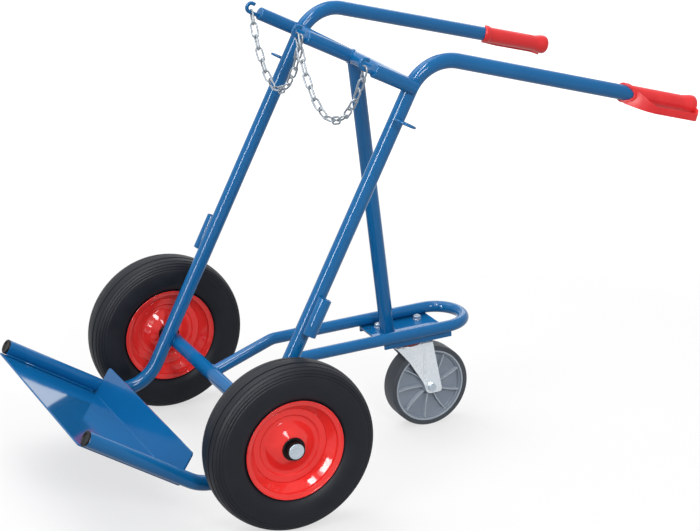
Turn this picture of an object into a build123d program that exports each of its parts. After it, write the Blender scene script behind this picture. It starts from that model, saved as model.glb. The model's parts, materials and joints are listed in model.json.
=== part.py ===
"""Two-bottle gas trolley: a leaning tube frame on two large wheels and a swivel castor.

X runs across the trolley with the left-hand side at +X, the toe plate points to -Y, the handles to +Y,
and Z is up from the ground. The pieces are laid out with the axle at Y = 0, and are written with the
origin on the ground under the middle of the trolley. Lengths are in millimetres, angles in degrees.
"""
from build123d import *

import os
from math import atan, cos, radians, sin

# Side tubes: toe, upright and handle bar in one bend
tube_od = 35.0
tube_wall = 2.5
frame_width = 584.0
lean = 26.5
toe_rise = 32.0
handle_fall = 15.0
handle_splay = 3.5
toe_corner_drop = 173.7
top_corner_rise = 888.6
toe_length = 380.0
handle_length = 658.0
toe_bend_radius = 100.0
top_bend_radius = 100.0
weld_gap = 0.2

# Crossbar and forward arms
arm_od = 32.0
arm_wall = 2.5
crossbar_drop = 73.6
crossbar_rise = top_corner_rise - crossbar_drop
side_arm_length = 112.0
centre_arm_length = 131.0
arm_cap_thickness = 3.0

# Chain hooks on the arm ends
hook_wire = 8.0
hook_drop = 6.0
hook_bend_radius = 11.0
hook_return = 7.0
hook_reach = 24.0
side_hook_seat = 18.0
left_centre_seat = 20.5
right_centre_seat = 9.5

# Chains
chain_links = 15
chain_wire = 4.5
link_inner_length = 32.0
link_inner_width = 10.5
link_play = 0.4
hook_play = 0.8

# Toe plate
toe_plate_width = 576.0
toe_plate_front = 390.0
toe_plate_fold = 122.0
toe_plate_thickness = 4.0
toe_plate_back_height = 73.0
toe_plate_fold_radius = 6.0
toe_plate_corner_radius = 9.0
plug_head = 4.5
plug_depth = 16.0
plug_clearance = 0.1

# Rod sleeves and rings on the uprights
sleeve_od = 30.0
sleeve_bore = 25.0
sleeve_length = 88.0
sleeve_rise = 275.0
ring_od = 50.0
ring_wire = 6.0
ring_drop = 78.0
ring_rise = crossbar_rise - ring_drop

# Axle
axle_tube_od = 35.0
axle_tube_wall = 3.0
axle_d = 20.0
axle_setback = 30.6
axle_overhang = 41.0
axle_bush_length = 25.0
axle_bush_inset = 40.0
axle_fit = 0.05
axle_spacer_od = 28.0
side_play = 0.3

# Wheels
tyre_od = 390.0
tyre_width = 98.0
tyre_clearance = 21.5
wheel_track = frame_width + tube_od + tyre_width + 2 * tyre_clearance
tyre_wall = 9.0
tread_width = 60.0
tread_drop = 5.0
groove_width = 3.0
groove_depth = 2.5
groove_pitch = 14.0
groove_count = 4
bead_width = 12.0
bead_fit = 0.3
rim_flange_d = 230.0
rim_width = 80.0
rim_wall = 3.0
rim_flange_lean = 4.0
rim_seat_d = 208.4
rim_well_d = 180.0
rim_well_width = 16.0
disc_wall = 2.5
disc_ring_face = 9.0
disc_ring_d = 144.0
disc_groove_d = 118.0
disc_groove_depth = 4.0
disc_lip = 7.0
hub_length = 54.8
hub_od = 40.0
hub_bore = 28.0
hub_bush_depth = 20.0
hub_flange_d = 53.0
hub_flange_thickness = 3.0
axle_washer_od = 38.0
axle_washer_thickness = 3.0
axle_cap_od = 36.0
axle_cap_length = 11.0
axle_cap_edge = 2.0

# Support loop and castor mounting plate
loop_od = 28.0
loop_wall = 2.5
loop_width = 140.0
loop_leg = 167.5
loop_leg_rise = 21.2
loop_run = 468.4
loop_run_rise = 2.1
loop_bend_radius = 60.0
loop_end_radius = 69.0
swivel_setback = 320.0
mount_plate_length = 178.0
mount_plate_thickness = 5.0
mount_plate_flange = 8.0
mount_plate_hole_x = 44.0
mount_plate_hole_lead = 76.0
strut_od = 35.0
strut_wall = 2.5
strut_offset = 4.0
strut_foot_lead = 48.0

# Castor
top_plate_length = 135.0
top_plate_width = 110.0
top_plate_thickness = 4.0
bolt_spacing_length = 105.0
bolt_spacing_width = 80.0
bolt_d = 10.0
bolt_hole_d = 11.0
bolt_head_flats = 17.0
bolt_head_height = 6.4
bolt_tail = 2.0
nut_height = 8.0
washer_od = 20.0
washer_thickness = 2.0
cup_d = 78.0
cup_height = 12.0
ball_d = 7.0
ball_circle_d = 56.0
ball_count = 16
ball_play = 0.25
seal_od = 76.0
seal_wall = 4.0
seal_gap = 0.3
kingpin_d = 12.0
kingpin_head_d = 24.0
kingpin_head_height = 6.0
swivel_fit = 0.05
fork_wall = 3.0
fork_gap = 56.0
fork_dome_height = 4.5
fork_front = 40.0
fork_rear = 58.0
fork_waist = 57.0
fork_waist_rise = 75.0
fork_knee = 21.0
fork_knee_rise = 15.0
fork_foot_front = 11.0
fork_foot_rear = 30.0
fork_foot_drop = 17.0
fork_corner_radius = 10.0
fork_edge_radius = 5.0
trail = 52.0
castor_od = 205.0
castor_width = 50.0
castor_rim_d = 182.0
castor_rim_width = 46.0
castor_rim_wall = 6.0
castor_hub_d = 40.0
castor_web = 20.0
castor_rib_count = 9
castor_rib_start = 20.0
castor_rib_width = 4.0
castor_rib_inset = 2.0
castor_tread_fit = 0.1
castor_tread_radius = 9.0
castor_axle_d = 12.0
castor_bush_od = 18.0
castor_spacer_od = 30.0
castor_axle_head_flats = 19.0
castor_axle_head_height = 7.5
castor_axle_tail = 2.0

# Grips
grip_socket = 154.4
grip_start = handle_length - grip_socket
grip_length = 195.0
grip_od = 39.0
grip_collar_od = 45.0
grip_collar_length = 12.0
grip_flare_od = 46.5
grip_flare_length = 35.0
grip_end_radius = 15.0
grip_fit = 0.1
guard_reach = 44.0
guard_wall = 4.0
guard_flare = 75.0
guard_top = 22.0
guard_front_bottom = 22.0
guard_band_top = 11.0
guard_bottom = 28.5
guard_end_inset = 4.0

# Directions and points that the driving dimensions fix
up_dir = Vector(0, sin(radians(lean)), cos(radians(lean)))
front_dir = Vector(0, -cos(radians(lean)), sin(radians(lean)))
toe_dir = Vector(0, -cos(radians(toe_rise)), sin(radians(toe_rise)))
toe_up = Vector(0, sin(radians(toe_rise)), cos(radians(toe_rise)))
across = Vector(1, 0, 0)
axle_centre = Vector(0, 0, tyre_od / 2)
upright_foot = axle_centre + front_dir * axle_setback
tube_reach = tube_od / 2 + weld_gap
sides = {"left": 1, "right": -1}
pieces = {}


def on_upright(rise, x=0.0):
    """Point on the uprights' plane, so far up from the axle and so far across."""
    return upright_foot + up_dir * rise + across * x


def handle_dir(side):
    """Direction of one handle bar, away from its top bend."""
    level = cos(radians(handle_splay))
    return Vector(
        side * sin(radians(handle_splay)),
        level * cos(radians(handle_fall)),
        -level * sin(radians(handle_fall)),
    )


def side_tube_points(side):
    """Corners of one side tube's centre line, from the toe end to the handle end."""
    x = side * frame_width / 2
    toe_corner = on_upright(-toe_corner_drop, x)
    top_corner = on_upright(top_corner_rise, x)
    return [
        toe_corner + toe_dir * toe_length,
        toe_corner,
        top_corner,
        top_corner + handle_dir(side) * handle_length,
    ]


def bent_tube(points, radii, outer_d, inner_d=0.0, cuts=()):
    """Round tube, or bar, swept along straight runs joined by bends."""
    with BuildPart() as tube:
        with BuildLine():
            route = FilletPolyline(*points, radius=radii)
        with BuildSketch(Plane(origin=route @ 0, z_dir=route % 0)):
            Circle(outer_d / 2)
            if inner_d:
                Circle(inner_d / 2, mode=Mode.SUBTRACT)
        sweep(path=route)
        for cut in cuts:
            add(cut, mode=Mode.SUBTRACT)
    return tube.part


def straight_tube(start, end, outer_d, inner_d=0.0, cuts=()):
    """Straight round tube, or bar, between two points."""
    with BuildPart() as tube:
        with BuildSketch(Plane(origin=start, z_dir=end - start)):
            Circle(outer_d / 2)
            if inner_d:
                Circle(inner_d / 2, mode=Mode.SUBTRACT)
        extrude(amount=(end - start).length)
        for cut in cuts:
            add(cut, mode=Mode.SUBTRACT)
    return tube.part


# Side tubes, and the room that welded-on pieces leave round them
side_bends = [toe_bend_radius, top_bend_radius]
tube_room = {}
for name, side in sides.items():
    corners = side_tube_points(side)
    pieces[f"side_tube_{name}"] = bent_tube(corners, side_bends, tube_od, tube_od - 2 * tube_wall)
    tube_room[name] = bent_tube(corners, side_bends, 2 * tube_reach)
both_tube_rooms = list(tube_room.values())

# Crossbar between the uprights
half_frame = frame_width / 2
crossbar_ends = [on_upright(crossbar_rise, -half_frame), on_upright(crossbar_rise, half_frame)]
arm_bore = arm_od - 2 * arm_wall
pieces["crossbar"] = straight_tube(*crossbar_ends, arm_od, arm_bore, both_tube_rooms)
crossbar_room = straight_tube(*crossbar_ends, arm_od + 2 * weld_gap)

# Forward arms: the outer two lie against the uprights' outer sides
arm_x = {"left": half_frame + tube_od / 2, "centre": 0.0, "right": -half_frame - tube_od / 2}
arm_length = {"left": side_arm_length, "centre": centre_arm_length, "right": side_arm_length}
arm_cuts = {"centre": crossbar_room}
for name, side in sides.items():
    upright_x = side * half_frame
    upright_ends = [on_upright(0, upright_x), on_upright(top_corner_rise, upright_x)]
    arm_cuts[name] = straight_tube(*upright_ends, 2 * tube_reach)
arm_root = {name: on_upright(crossbar_rise, x) for name, x in arm_x.items()}
arm_tip = {name: arm_root[name] + front_dir * arm_length[name] for name in arm_x}
for name in arm_x:
    tube_end = arm_tip[name] - front_dir * arm_cap_thickness
    pieces[f"arm_{name}"] = straight_tube(arm_root[name], tube_end, arm_od, arm_bore, [arm_cuts[name]])

centre_arm_room = straight_tube(arm_root["centre"], arm_tip["centre"], arm_od + 2 * weld_gap)

with BuildPart() as arm_caps:
    for tip in arm_tip.values():
        with BuildSketch(Plane(origin=tip, z_dir=-front_dir)):
            Circle(arm_od / 2)
        extrude(amount=arm_cap_thickness)
pieces["arm_caps"] = arm_caps.part


def chain_hook(tip):
    """Round bar that leaves the arm's end low, runs forward and curls up and back."""
    low = -hook_drop
    high = low + 2 * hook_bend_radius
    with BuildPart() as hook:
        with BuildLine(Plane(origin=tip, x_dir=front_dir, z_dir=-across)) as route:
            Line((0, low), (hook_reach, low))
            bend_front = (hook_reach + hook_bend_radius, (low + high) / 2)
            ThreePointArc((hook_reach, low), bend_front, (hook_reach, high))
            Line((hook_reach, high), (hook_reach - hook_return, high))
        with BuildSketch(Plane(origin=tip + up_dir * low, z_dir=front_dir)):
            Circle(hook_wire / 2)
        sweep(path=route.line)
    return hook.part


for name, tip in arm_tip.items():
    pieces[f"chain_hook_{name}"] = chain_hook(tip)

# One chain link, lengthwise along X and flat in XY
link_radius = (link_inner_width + chain_wire) / 2
link_straight = (link_inner_length + chain_wire) / 2 - link_radius
with BuildPart() as chain_link:
    with BuildLine() as link_route:
        first_side = Line((-link_straight, link_radius), (link_straight, link_radius))
        ThreePointArc(
            (link_straight, link_radius), (link_straight + link_radius, 0), (link_straight, -link_radius)
        )
        Line((link_straight, -link_radius), (-link_straight, -link_radius))
        ThreePointArc(
            (-link_straight, -link_radius), (-link_straight - link_radius, 0), (-link_straight, link_radius)
        )
    with BuildSketch(Plane(origin=first_side @ 0, z_dir=first_side % 0)):
        Circle(chain_wire / 2)
    sweep(path=link_route.line)

link_pitch = link_inner_length - 2 * link_play
seat_radius = hook_wire / 2 + hook_play
middle_link = (chain_links - 1) / 2


def link_slopes(span):
    """Angles below the span of a hanging chain's links, whose tangents fall evenly from end to end."""
    low, high = 0.0, 10.0
    for _ in range(60):
        step = (low + high) / 2
        slopes = [atan(step * (middle_link - index)) for index in range(chain_links)]
        reach = sum(link_pitch * cos(slope) for slope in slopes) - 2 * seat_radius * cos(slopes[0])
        if reach > span:
            low = step
        else:
            high = step
    return slopes


def hung_chain(centre_seat, side_seat):
    """Chain links hanging between two hook seats, and the line through its end links' wires."""
    span = side_seat - centre_seat
    along = span.normalized()
    flat_normal = along.cross(Vector(0, 0, 1)).normalized()
    down = flat_normal.cross(along).normalized()
    if down.Z > 0:
        down = -down
    slopes = link_slopes(span.length)
    directions = [along * cos(slope) + down * sin(slope) for slope in slopes]
    joint = centre_seat - directions[0] * seat_radius
    axis_start = joint - directions[0] * (link_play + chain_wire / 2)
    links = []
    for index, direction in enumerate(directions):
        normal = flat_normal if index % 2 == 0 else direction.cross(flat_normal)
        middle = joint + direction * (link_pitch / 2)
        links.append(chain_link.part.moved(Location(Plane(origin=middle, x_dir=direction, z_dir=normal))))
        joint = joint + direction * link_pitch
    axis_end = joint + directions[-1] * (link_play + chain_wire / 2)
    with BuildPart() as chain:
        for link in links:
            add(link)
    return chain.part, axis_start, axis_end


def hook_seat(name, distance):
    """Point on a hook's wire, so far in front of its arm's end."""
    return arm_tip[name] + front_dir * distance - up_dir * hook_drop


chain_axis = {}
centre_seats = {"left": left_centre_seat, "right": right_centre_seat}
for name, seat in centre_seats.items():
    chain, axis_start, axis_end = hung_chain(hook_seat("centre", seat), hook_seat(name, side_hook_seat))
    pieces[f"chain_{name}"] = chain
    chain_axis[name] = (axis_start, axis_end)

# Toe plate: sheet under the toe tubes, folded up between them at the back
toe_corner_middle = on_upright(-toe_corner_drop)
sheet_top = toe_corner_middle - toe_up * tube_reach
fold_line = sheet_top + toe_dir * toe_plate_fold - toe_up * toe_plate_thickness
with BuildPart() as toe_plate:
    with BuildSketch(Plane(origin=sheet_top, x_dir=across, z_dir=-toe_up)):
        with Locations((0, (toe_plate_fold + toe_plate_front) / 2)):
            Rectangle(toe_plate_width, toe_plate_front - toe_plate_fold)
    extrude(amount=toe_plate_thickness)
    with BuildSketch(Plane(origin=fold_line, x_dir=across, z_dir=toe_dir)):
        back_height = toe_plate_back_height + toe_plate_thickness
        with Locations((0, back_height / 2)):
            Rectangle(frame_width - 2 * tube_reach, back_height)
        fillet(vertices().group_by(Axis.Y)[-1], radius=toe_plate_corner_radius)
    extrude(amount=toe_plate_thickness)
    fillet(edges().filter_by(Axis.X).sort_by_distance(fold_line)[0], radius=toe_plate_fold_radius)
pieces["toe_plate"] = toe_plate.part

with BuildPart() as toe_plugs:
    for side in sides.values():
        tube_mouth = side_tube_points(side)[0]
        with BuildSketch(Plane(origin=tube_mouth, z_dir=toe_dir)):
            Circle(tube_od / 2)
        extrude(amount=plug_head)
        with BuildSketch(Plane(origin=tube_mouth, z_dir=-toe_dir)):
            Circle(tube_od / 2 - tube_wall - plug_clearance)
        extrude(amount=plug_depth)
    plug_fronts = faces().filter_by(GeomType.PLANE).sort_by(Axis.Y)[:2]
    fillet(plug_fronts.edges(), radius=plug_head / 3)
pieces["toe_plugs"] = toe_plugs.part

# Rod sleeves and rings, welded to the uprights' outer sides
for name, side in sides.items():
    sleeve_x = side * (half_frame + tube_reach + sleeve_od / 2)
    sleeve_ends = [on_upright(sleeve_rise + end * sleeve_length / 2, sleeve_x) for end in (-1, 1)]
    pieces[f"rod_sleeve_{name}"] = straight_tube(*sleeve_ends, sleeve_od, sleeve_bore)

    ring_centre = on_upright(ring_rise, side * (half_frame + tube_reach + ring_od / 2))
    with BuildPart() as rod_ring:
        with BuildSketch(Plane(origin=ring_centre, x_dir=across, z_dir=-front_dir)):
            with Locations(((ring_od - ring_wire) / 2, 0)):
                Circle(ring_wire / 2)
        revolve(axis=Axis(ring_centre, up_dir))
    pieces[f"rod_ring_{name}"] = rod_ring.part


def axle_point(x):
    """Point on the axle's centre line."""
    return axle_centre + across * x


# Axle tube behind the uprights, with the solid axle bar through it
axle_tube_end = half_frame + tube_od / 2
axle_tube_bore = axle_tube_od - 2 * axle_tube_wall
axle_tube_ends = [axle_point(-axle_tube_end), axle_point(axle_tube_end)]
pieces["axle_tube"] = straight_tube(*axle_tube_ends, axle_tube_od, axle_tube_bore, both_tube_rooms)
axle_tube_room = straight_tube(*axle_tube_ends, axle_tube_od + 2 * weld_gap)

half_track = wheel_track / 2
axle_end = half_track + axle_overhang
pieces["axle_bar"] = straight_tube(axle_point(-axle_end), axle_point(axle_end), axle_d)

hub_face = hub_length / 2 + hub_flange_thickness
washer_start = half_track + hub_face + side_play
cap_start = washer_start + axle_washer_thickness
axle_hole_d = axle_d + 2 * axle_fit
axle_stack = {
    "axle_bushes": (
        axle_tube_end - axle_bush_inset - axle_bush_length,
        axle_tube_end - axle_bush_inset,
        axle_tube_bore - 2 * axle_fit,
    ),
    "axle_spacers": (axle_tube_end, half_track - hub_face - side_play, axle_spacer_od),
    "axle_washers": (washer_start, cap_start, axle_washer_od),
}
for name, (start, end, outer_d) in axle_stack.items():
    with BuildPart() as stack:
        for side in sides.values():
            with BuildSketch(Plane(origin=axle_point(side * start), z_dir=across * side)):
                Circle(outer_d / 2)
                Circle(axle_hole_d / 2, mode=Mode.SUBTRACT)
            extrude(amount=end - start)
    pieces[name] = stack.part

with BuildPart() as axle_caps:
    for side in sides.values():
        with BuildSketch(Plane(origin=axle_point(side * cap_start), z_dir=across * side)):
            Circle(axle_cap_od / 2)
        extrude(amount=axle_cap_length)
    cap_faces = faces().filter_by(Axis.X).sort_by(Axis.X)
    fillet([cap_faces[0].edge(), cap_faces[-1].edge()], radius=axle_cap_edge)
    for side in sides.values():
        with BuildSketch(Plane(origin=axle_point(side * cap_start), z_dir=across * side)):
            Circle(axle_hole_d / 2)
        extrude(amount=axle_end + axle_fit - cap_start, mode=Mode.SUBTRACT)
pieces["axle_caps"] = axle_caps.part


def wheel_plane(side):
    """Plane through a wheel's axis: X outwards from the wheel's middle, Y along the radius."""
    return Plane(origin=axle_point(side * half_track), x_dir=across * side, z_dir=(0, -side, 0))


def turned(plane, outlines, axis=Axis((0, 0, tyre_od / 2), (1, 0, 0))):
    """Turn closed outlines, given as (distance along the axis, radius), about the axle."""
    with BuildPart() as ring:
        with BuildSketch(plane):
            for outline in outlines:
                with BuildLine():
                    Polyline(*outline, close=True)
                make_face()
        revolve(axis=axis)
    return ring.part


tyre_radius = tyre_od / 2
half_tyre = tyre_width / 2
half_tread = tread_width / 2
seat_r = rim_seat_d / 2 + bead_fit
section_middle = (tyre_radius + seat_r) / 2
flange_r = rim_flange_d / 2
half_rim = rim_width / 2
bead_face = half_rim - rim_wall - rim_flange_lean - bead_fit
bead_top = flange_r + bead_fit


def tyre(side):
    """Hollow tyre: a crowned tread with grooves, bulging side walls and square beads."""
    shoulder_r = tyre_radius - tread_drop
    inner_half = half_tyre - tyre_wall
    inner_shoulder = half_tread - tyre_wall / 2
    bead_inside = bead_face - bead_width
    with BuildPart() as ring:
        with BuildSketch(wheel_plane(side)):
            with BuildLine():
                ThreePointArc((-half_tread, shoulder_r), (0, tyre_radius), (half_tread, shoulder_r))
                for way in (1, -1):
                    Bezier(
                        (way * half_tread, shoulder_r),
                        (way * half_tyre, shoulder_r - tread_drop),
                        (way * half_tyre, section_middle),
                    )
                    Bezier(
                        (way * half_tyre, section_middle),
                        (way * half_tyre, bead_top + tyre_wall),
                        (way * bead_face, bead_top),
                    )
                    Polyline(
                        (way * bead_face, bead_top), (way * bead_face, seat_r), (way * bead_inside, seat_r),
                        (way * bead_inside, bead_top),
                    )
                    Bezier(
                        (way * bead_inside, bead_top),
                        (way * inner_half, bead_top + tyre_wall),
                        (way * inner_half, section_middle),
                    )
                    Bezier(
                        (way * inner_half, section_middle),
                        (way * inner_half, shoulder_r - 2 * tyre_wall),
                        (way * inner_shoulder, shoulder_r - tyre_wall),
                    )
                ThreePointArc(
                    (-inner_shoulder, shoulder_r - tyre_wall),
                    (0, tyre_radius - tyre_wall),
                    (inner_shoulder, shoulder_r - tyre_wall),
                )
            make_face()
            with Locations((0, tyre_radius - tread_drop / 2)):
                with GridLocations(groove_pitch, 0, groove_count, 1):
                    Rectangle(groove_width, 2 * groove_depth, mode=Mode.SUBTRACT)
        revolve(axis=Axis(axle_centre, across))
    return ring.part


well_r = rim_well_d / 2
half_well = rim_well_width / 2
rim_seat_r = rim_seat_d / 2
barrel_half = [
    (half_rim, flange_r),
    (half_rim - rim_wall, flange_r),
    (half_rim - rim_wall - rim_flange_lean, rim_seat_r),
    (half_well, well_r),
]
barrel_under = [
    (half_well + rim_wall / 2, well_r - rim_wall),
    (half_rim - rim_flange_lean - rim_wall / 2, rim_seat_r - rim_wall),
]
barrel_outline = (
    barrel_half
    + [(-w, r) for w, r in reversed(barrel_half)]
    + [(-w, r) for w, r in reversed(barrel_under)]
    + barrel_under
)

disc_r = well_r - rim_wall - weld_gap
ring_r = disc_ring_d / 2
groove_r = disc_groove_d / 2
groove_face = disc_ring_face - disc_groove_depth
hub_r = hub_od / 2 + weld_gap
boss_r = hub_flange_d / 2
boss_face = hub_length / 2 - weld_gap
disc_face = [
    (disc_ring_face - disc_lip, disc_r),
    (disc_ring_face, disc_r),
    (disc_ring_face, ring_r),
    (groove_face, ring_r - disc_groove_depth),
    (groove_face, groove_r),
    (boss_face, boss_r),
    (boss_face, hub_r),
]
disc_back = [
    (boss_face - disc_wall, hub_r),
    (boss_face - disc_wall, boss_r + disc_wall / 2),
    (groove_face - disc_wall, groove_r - disc_wall / 2),
    (groove_face - disc_wall, ring_r - disc_groove_depth + disc_wall),
    (disc_ring_face - disc_wall, ring_r + disc_wall),
    (disc_ring_face - disc_wall, disc_r - disc_wall),
    (disc_ring_face - disc_lip, disc_r - disc_wall),
]
disc_outline = disc_face + disc_back


def mirrored(outline):
    """The same outline on the wheel's other face."""
    return [(-w, r) for w, r in outline]


hub_outline = [
    (-hub_length / 2, hub_od / 2),
    (hub_length / 2, hub_od / 2),
    (hub_length / 2, hub_bore / 2),
    (-hub_length / 2, hub_bore / 2),
]
bush_r = hub_bore / 2 - axle_fit
bush_outline = [
    (hub_length / 2 - hub_bush_depth, axle_hole_d / 2),
    (hub_length / 2 - hub_bush_depth, bush_r),
    (hub_length / 2, bush_r),
    (hub_length / 2, hub_flange_d / 2),
    (hub_face, hub_flange_d / 2),
    (hub_face, axle_hole_d / 2),
]
for name, side in sides.items():
    plane = wheel_plane(side)
    pieces[f"tyre_{name}"] = tyre(side)
    pieces[f"rim_barrel_{name}"] = turned(plane, [barrel_outline])
    pieces[f"disc_outer_{name}"] = turned(plane, [disc_outline])
    pieces[f"disc_inner_{name}"] = turned(plane, [mirrored(disc_outline)])
    pieces[f"hub_tube_{name}"] = turned(plane, [hub_outline])
    pieces[f"hub_bushes_{name}"] = turned(plane, [bush_outline, mirrored(bush_outline)])

# Support loop from the axle tube back round the castor plate
leg_dir = Vector(0, cos(radians(loop_leg_rise)), sin(radians(loop_leg_rise)))
run_dir = Vector(0, cos(radians(loop_run_rise)), sin(radians(loop_run_rise)))
plate_up = Vector(0, -sin(radians(loop_run_rise)), cos(radians(loop_run_rise)))
loop_bend = axle_centre + leg_dir * loop_leg
loop_rear = loop_bend + run_dir * loop_run
half_loop = across * (loop_width / 2)
loop_points = [
    axle_centre + half_loop,
    loop_bend + half_loop,
    loop_rear + half_loop,
    loop_rear - half_loop,
    loop_bend - half_loop,
    axle_centre - half_loop,
]
loop_radii = [loop_bend_radius, loop_end_radius, loop_end_radius, loop_bend_radius]
loop_bore = loop_od - 2 * loop_wall
pieces["support_loop"] = bent_tube(loop_points, loop_radii, loop_od, loop_bore, [axle_tube_room])

# Castor mounting plate: a channel under the loop's two legs
plate_top = loop_bend + run_dir * swivel_setback - plate_up * (loop_od / 2 + weld_gap)
castor_origin = plate_top - plate_up * mount_plate_thickness
castor_plane = Plane(origin=castor_origin, x_dir=across, z_dir=plate_up)
half_plate = mount_plate_length / 2
with BuildPart() as castor_mount_plate:
    with BuildSketch(Plane(origin=plate_top + run_dir * half_plate, x_dir=across, z_dir=-run_dir)):
        with Locations((0, -mount_plate_thickness / 2)):
            Rectangle(loop_width, mount_plate_thickness)
        flange_height = mount_plate_thickness + mount_plate_flange
        with Locations((0, -flange_height / 2)):
            with GridLocations(loop_width - mount_plate_thickness, 0, 2, 1):
                Rectangle(mount_plate_thickness, flange_height)
    extrude(amount=mount_plate_length)
    with BuildSketch(Plane(origin=plate_top, x_dir=across, z_dir=-plate_up)):
        with GridLocations(bolt_spacing_width, bolt_spacing_length, 2, 2):
            Circle(bolt_hole_d / 2)
        with Locations((0, mount_plate_hole_lead)):
            with GridLocations(2 * mount_plate_hole_x, 0, 2, 1):
                Circle(bolt_hole_d / 2)
    extrude(amount=mount_plate_thickness, mode=Mode.SUBTRACT)
pieces["castor_mount_plate"] = castor_mount_plate.part

# Centre strut from the crossbar down to the mounting plate
strut_top = on_upright(crossbar_rise) - front_dir * strut_offset
strut_foot = plate_top - run_dir * strut_foot_lead
strut_dir = (strut_foot - strut_top).normalized()
with BuildPart() as centre_strut:
    with BuildSketch(Plane(origin=strut_top, z_dir=strut_dir)):
        Circle(strut_od / 2)
        Circle(strut_od / 2 - strut_wall, mode=Mode.SUBTRACT)
    extrude(amount=(strut_foot - strut_top).length + strut_od)
    add(crossbar_room, mode=Mode.SUBTRACT)
    add(centre_arm_room, mode=Mode.SUBTRACT)
    split(bisect_by=Plane(origin=plate_top, z_dir=plate_up), keep=Keep.TOP)
pieces["centre_strut"] = centre_strut.part.solids().sort_by(SortBy.VOLUME)[-1]


def castor_level(height):
    """Plane square to the swivel axis, so far above the mounting plate's underside."""
    return castor_plane.offset(height)


# Castor's fixed half: top plate with its bearing cup, and the four bolts
cup_bottom = -top_plate_thickness - cup_height
with BuildPart() as castor_top_plate:
    with BuildSketch(castor_level(-top_plate_thickness)):
        Rectangle(top_plate_width, top_plate_length)
        fillet(vertices(), radius=bolt_hole_d)
        with GridLocations(bolt_spacing_width, bolt_spacing_length, 2, 2):
            Circle(bolt_hole_d / 2, mode=Mode.SUBTRACT)
    extrude(amount=top_plate_thickness)
    with BuildSketch(castor_level(cup_bottom)):
        Circle(cup_d / 2)
    extrude(amount=cup_height)
    with BuildSketch(castor_level(cup_bottom)):
        Circle(kingpin_d / 2 + swivel_fit)
    extrude(amount=cup_height + top_plate_thickness, mode=Mode.SUBTRACT)
pieces["castor_top_plate"] = castor_top_plate.part

nut_seat = mount_plate_thickness + washer_thickness
bolt_top = nut_seat + nut_height + bolt_tail
hexagon_ratio = 2 / 3 ** 0.5
with BuildPart() as castor_bolts:
    with BuildSketch(castor_level(-top_plate_thickness - bolt_head_height)):
        with GridLocations(bolt_spacing_width, bolt_spacing_length, 2, 2):
            RegularPolygon(bolt_head_flats / 2 * hexagon_ratio, 6)
    extrude(amount=bolt_head_height)
    with BuildSketch(castor_level(-top_plate_thickness)):
        with GridLocations(bolt_spacing_width, bolt_spacing_length, 2, 2):
            Circle(bolt_d / 2)
    extrude(amount=top_plate_thickness + bolt_top)
pieces["castor_bolts"] = castor_bolts.part

with BuildPart() as castor_washers:
    with BuildSketch(castor_level(mount_plate_thickness)):
        with GridLocations(bolt_spacing_width, bolt_spacing_length, 2, 2):
            Circle(washer_od / 2)
            Circle(bolt_hole_d / 2, mode=Mode.SUBTRACT)
    extrude(amount=washer_thickness)
pieces["castor_washers"] = castor_washers.part

with BuildPart() as castor_nuts:
    with BuildSketch(castor_level(nut_seat)):
        with GridLocations(bolt_spacing_width, bolt_spacing_length, 2, 2):
            RegularPolygon(bolt_head_flats / 2 * hexagon_ratio, 6)
            Circle(bolt_d / 2 + swivel_fit, mode=Mode.SUBTRACT)
    extrude(amount=nut_height)
pieces["castor_nuts"] = castor_nuts.part

# Castor's turning half: fork with its dome, balls and seal round the kingpin
dome_top = cup_bottom - ball_d - 2 * ball_play
crown_top = dome_top - fork_dome_height
crown_bottom = crown_top - fork_wall
castor_radius = castor_od / 2
wheel_drop = (castor_origin.Z + trail * run_dir.Z - castor_radius) / plate_up.Z
castor_centre = castor_origin + run_dir * trail - plate_up * wheel_drop
half_gap = fork_gap / 2
half_fork = half_gap + fork_wall
fork_side = Plane(origin=castor_origin, x_dir=run_dir, z_dir=across)
with BuildPart() as castor_fork:
    with BuildSketch(fork_side):
        with BuildLine():
            Polyline(
                (-fork_front, crown_top),
                (fork_rear, crown_top),
                (trail + fork_foot_rear, -wheel_drop - fork_foot_drop),
                (trail - fork_foot_front, -wheel_drop - fork_foot_drop),
                (trail - fork_knee, -wheel_drop + fork_knee_rise),
                (trail - fork_waist, -wheel_drop + fork_waist_rise),
                (-fork_front, crown_bottom - fork_wall),
                close=True,
            )
        make_face()
        fillet(vertices().group_by(Axis.Y)[0], radius=fork_corner_radius)
    extrude(amount=half_fork, both=True)
    fillet(edges().group_by(Axis((0, 0, 0), plate_up))[-1].filter_by(Axis((0, 0, 0), run_dir)), fork_edge_radius)
    with BuildSketch(fork_side):
        with BuildLine():
            Polyline(
                (-castor_radius, crown_bottom),
                (2 * castor_radius, crown_bottom),
                (2 * castor_radius, -2 * wheel_drop),
                (-castor_radius, -2 * wheel_drop),
                close=True,
            )
        make_face()
    extrude(amount=half_gap, both=True, mode=Mode.SUBTRACT)
    with BuildSketch(castor_level(crown_top)):
        Circle(cup_d / 2)
    extrude(amount=fork_dome_height)
    with BuildSketch(castor_level(crown_bottom)):
        Circle(kingpin_d / 2 + swivel_fit)
    extrude(amount=fork_wall + fork_dome_height, mode=Mode.SUBTRACT)
    with BuildSketch(Plane(origin=castor_centre, z_dir=across)):
        Circle(castor_axle_d / 2 + swivel_fit)
    extrude(amount=half_fork, both=True, mode=Mode.SUBTRACT)
pieces["castor_fork"] = castor_fork.part

with BuildPart() as swivel_balls:
    with BuildSketch(castor_level(dome_top + ball_play + ball_d / 2)) as ball_ring:
        with PolarLocations(ball_circle_d / 2, ball_count):
            Circle(ball_play)
    ball_places = [disc.center() for disc in ball_ring.sketch.faces()]
    with Locations(*ball_places):
        Sphere(ball_d / 2)
pieces["swivel_balls"] = swivel_balls.part

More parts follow.
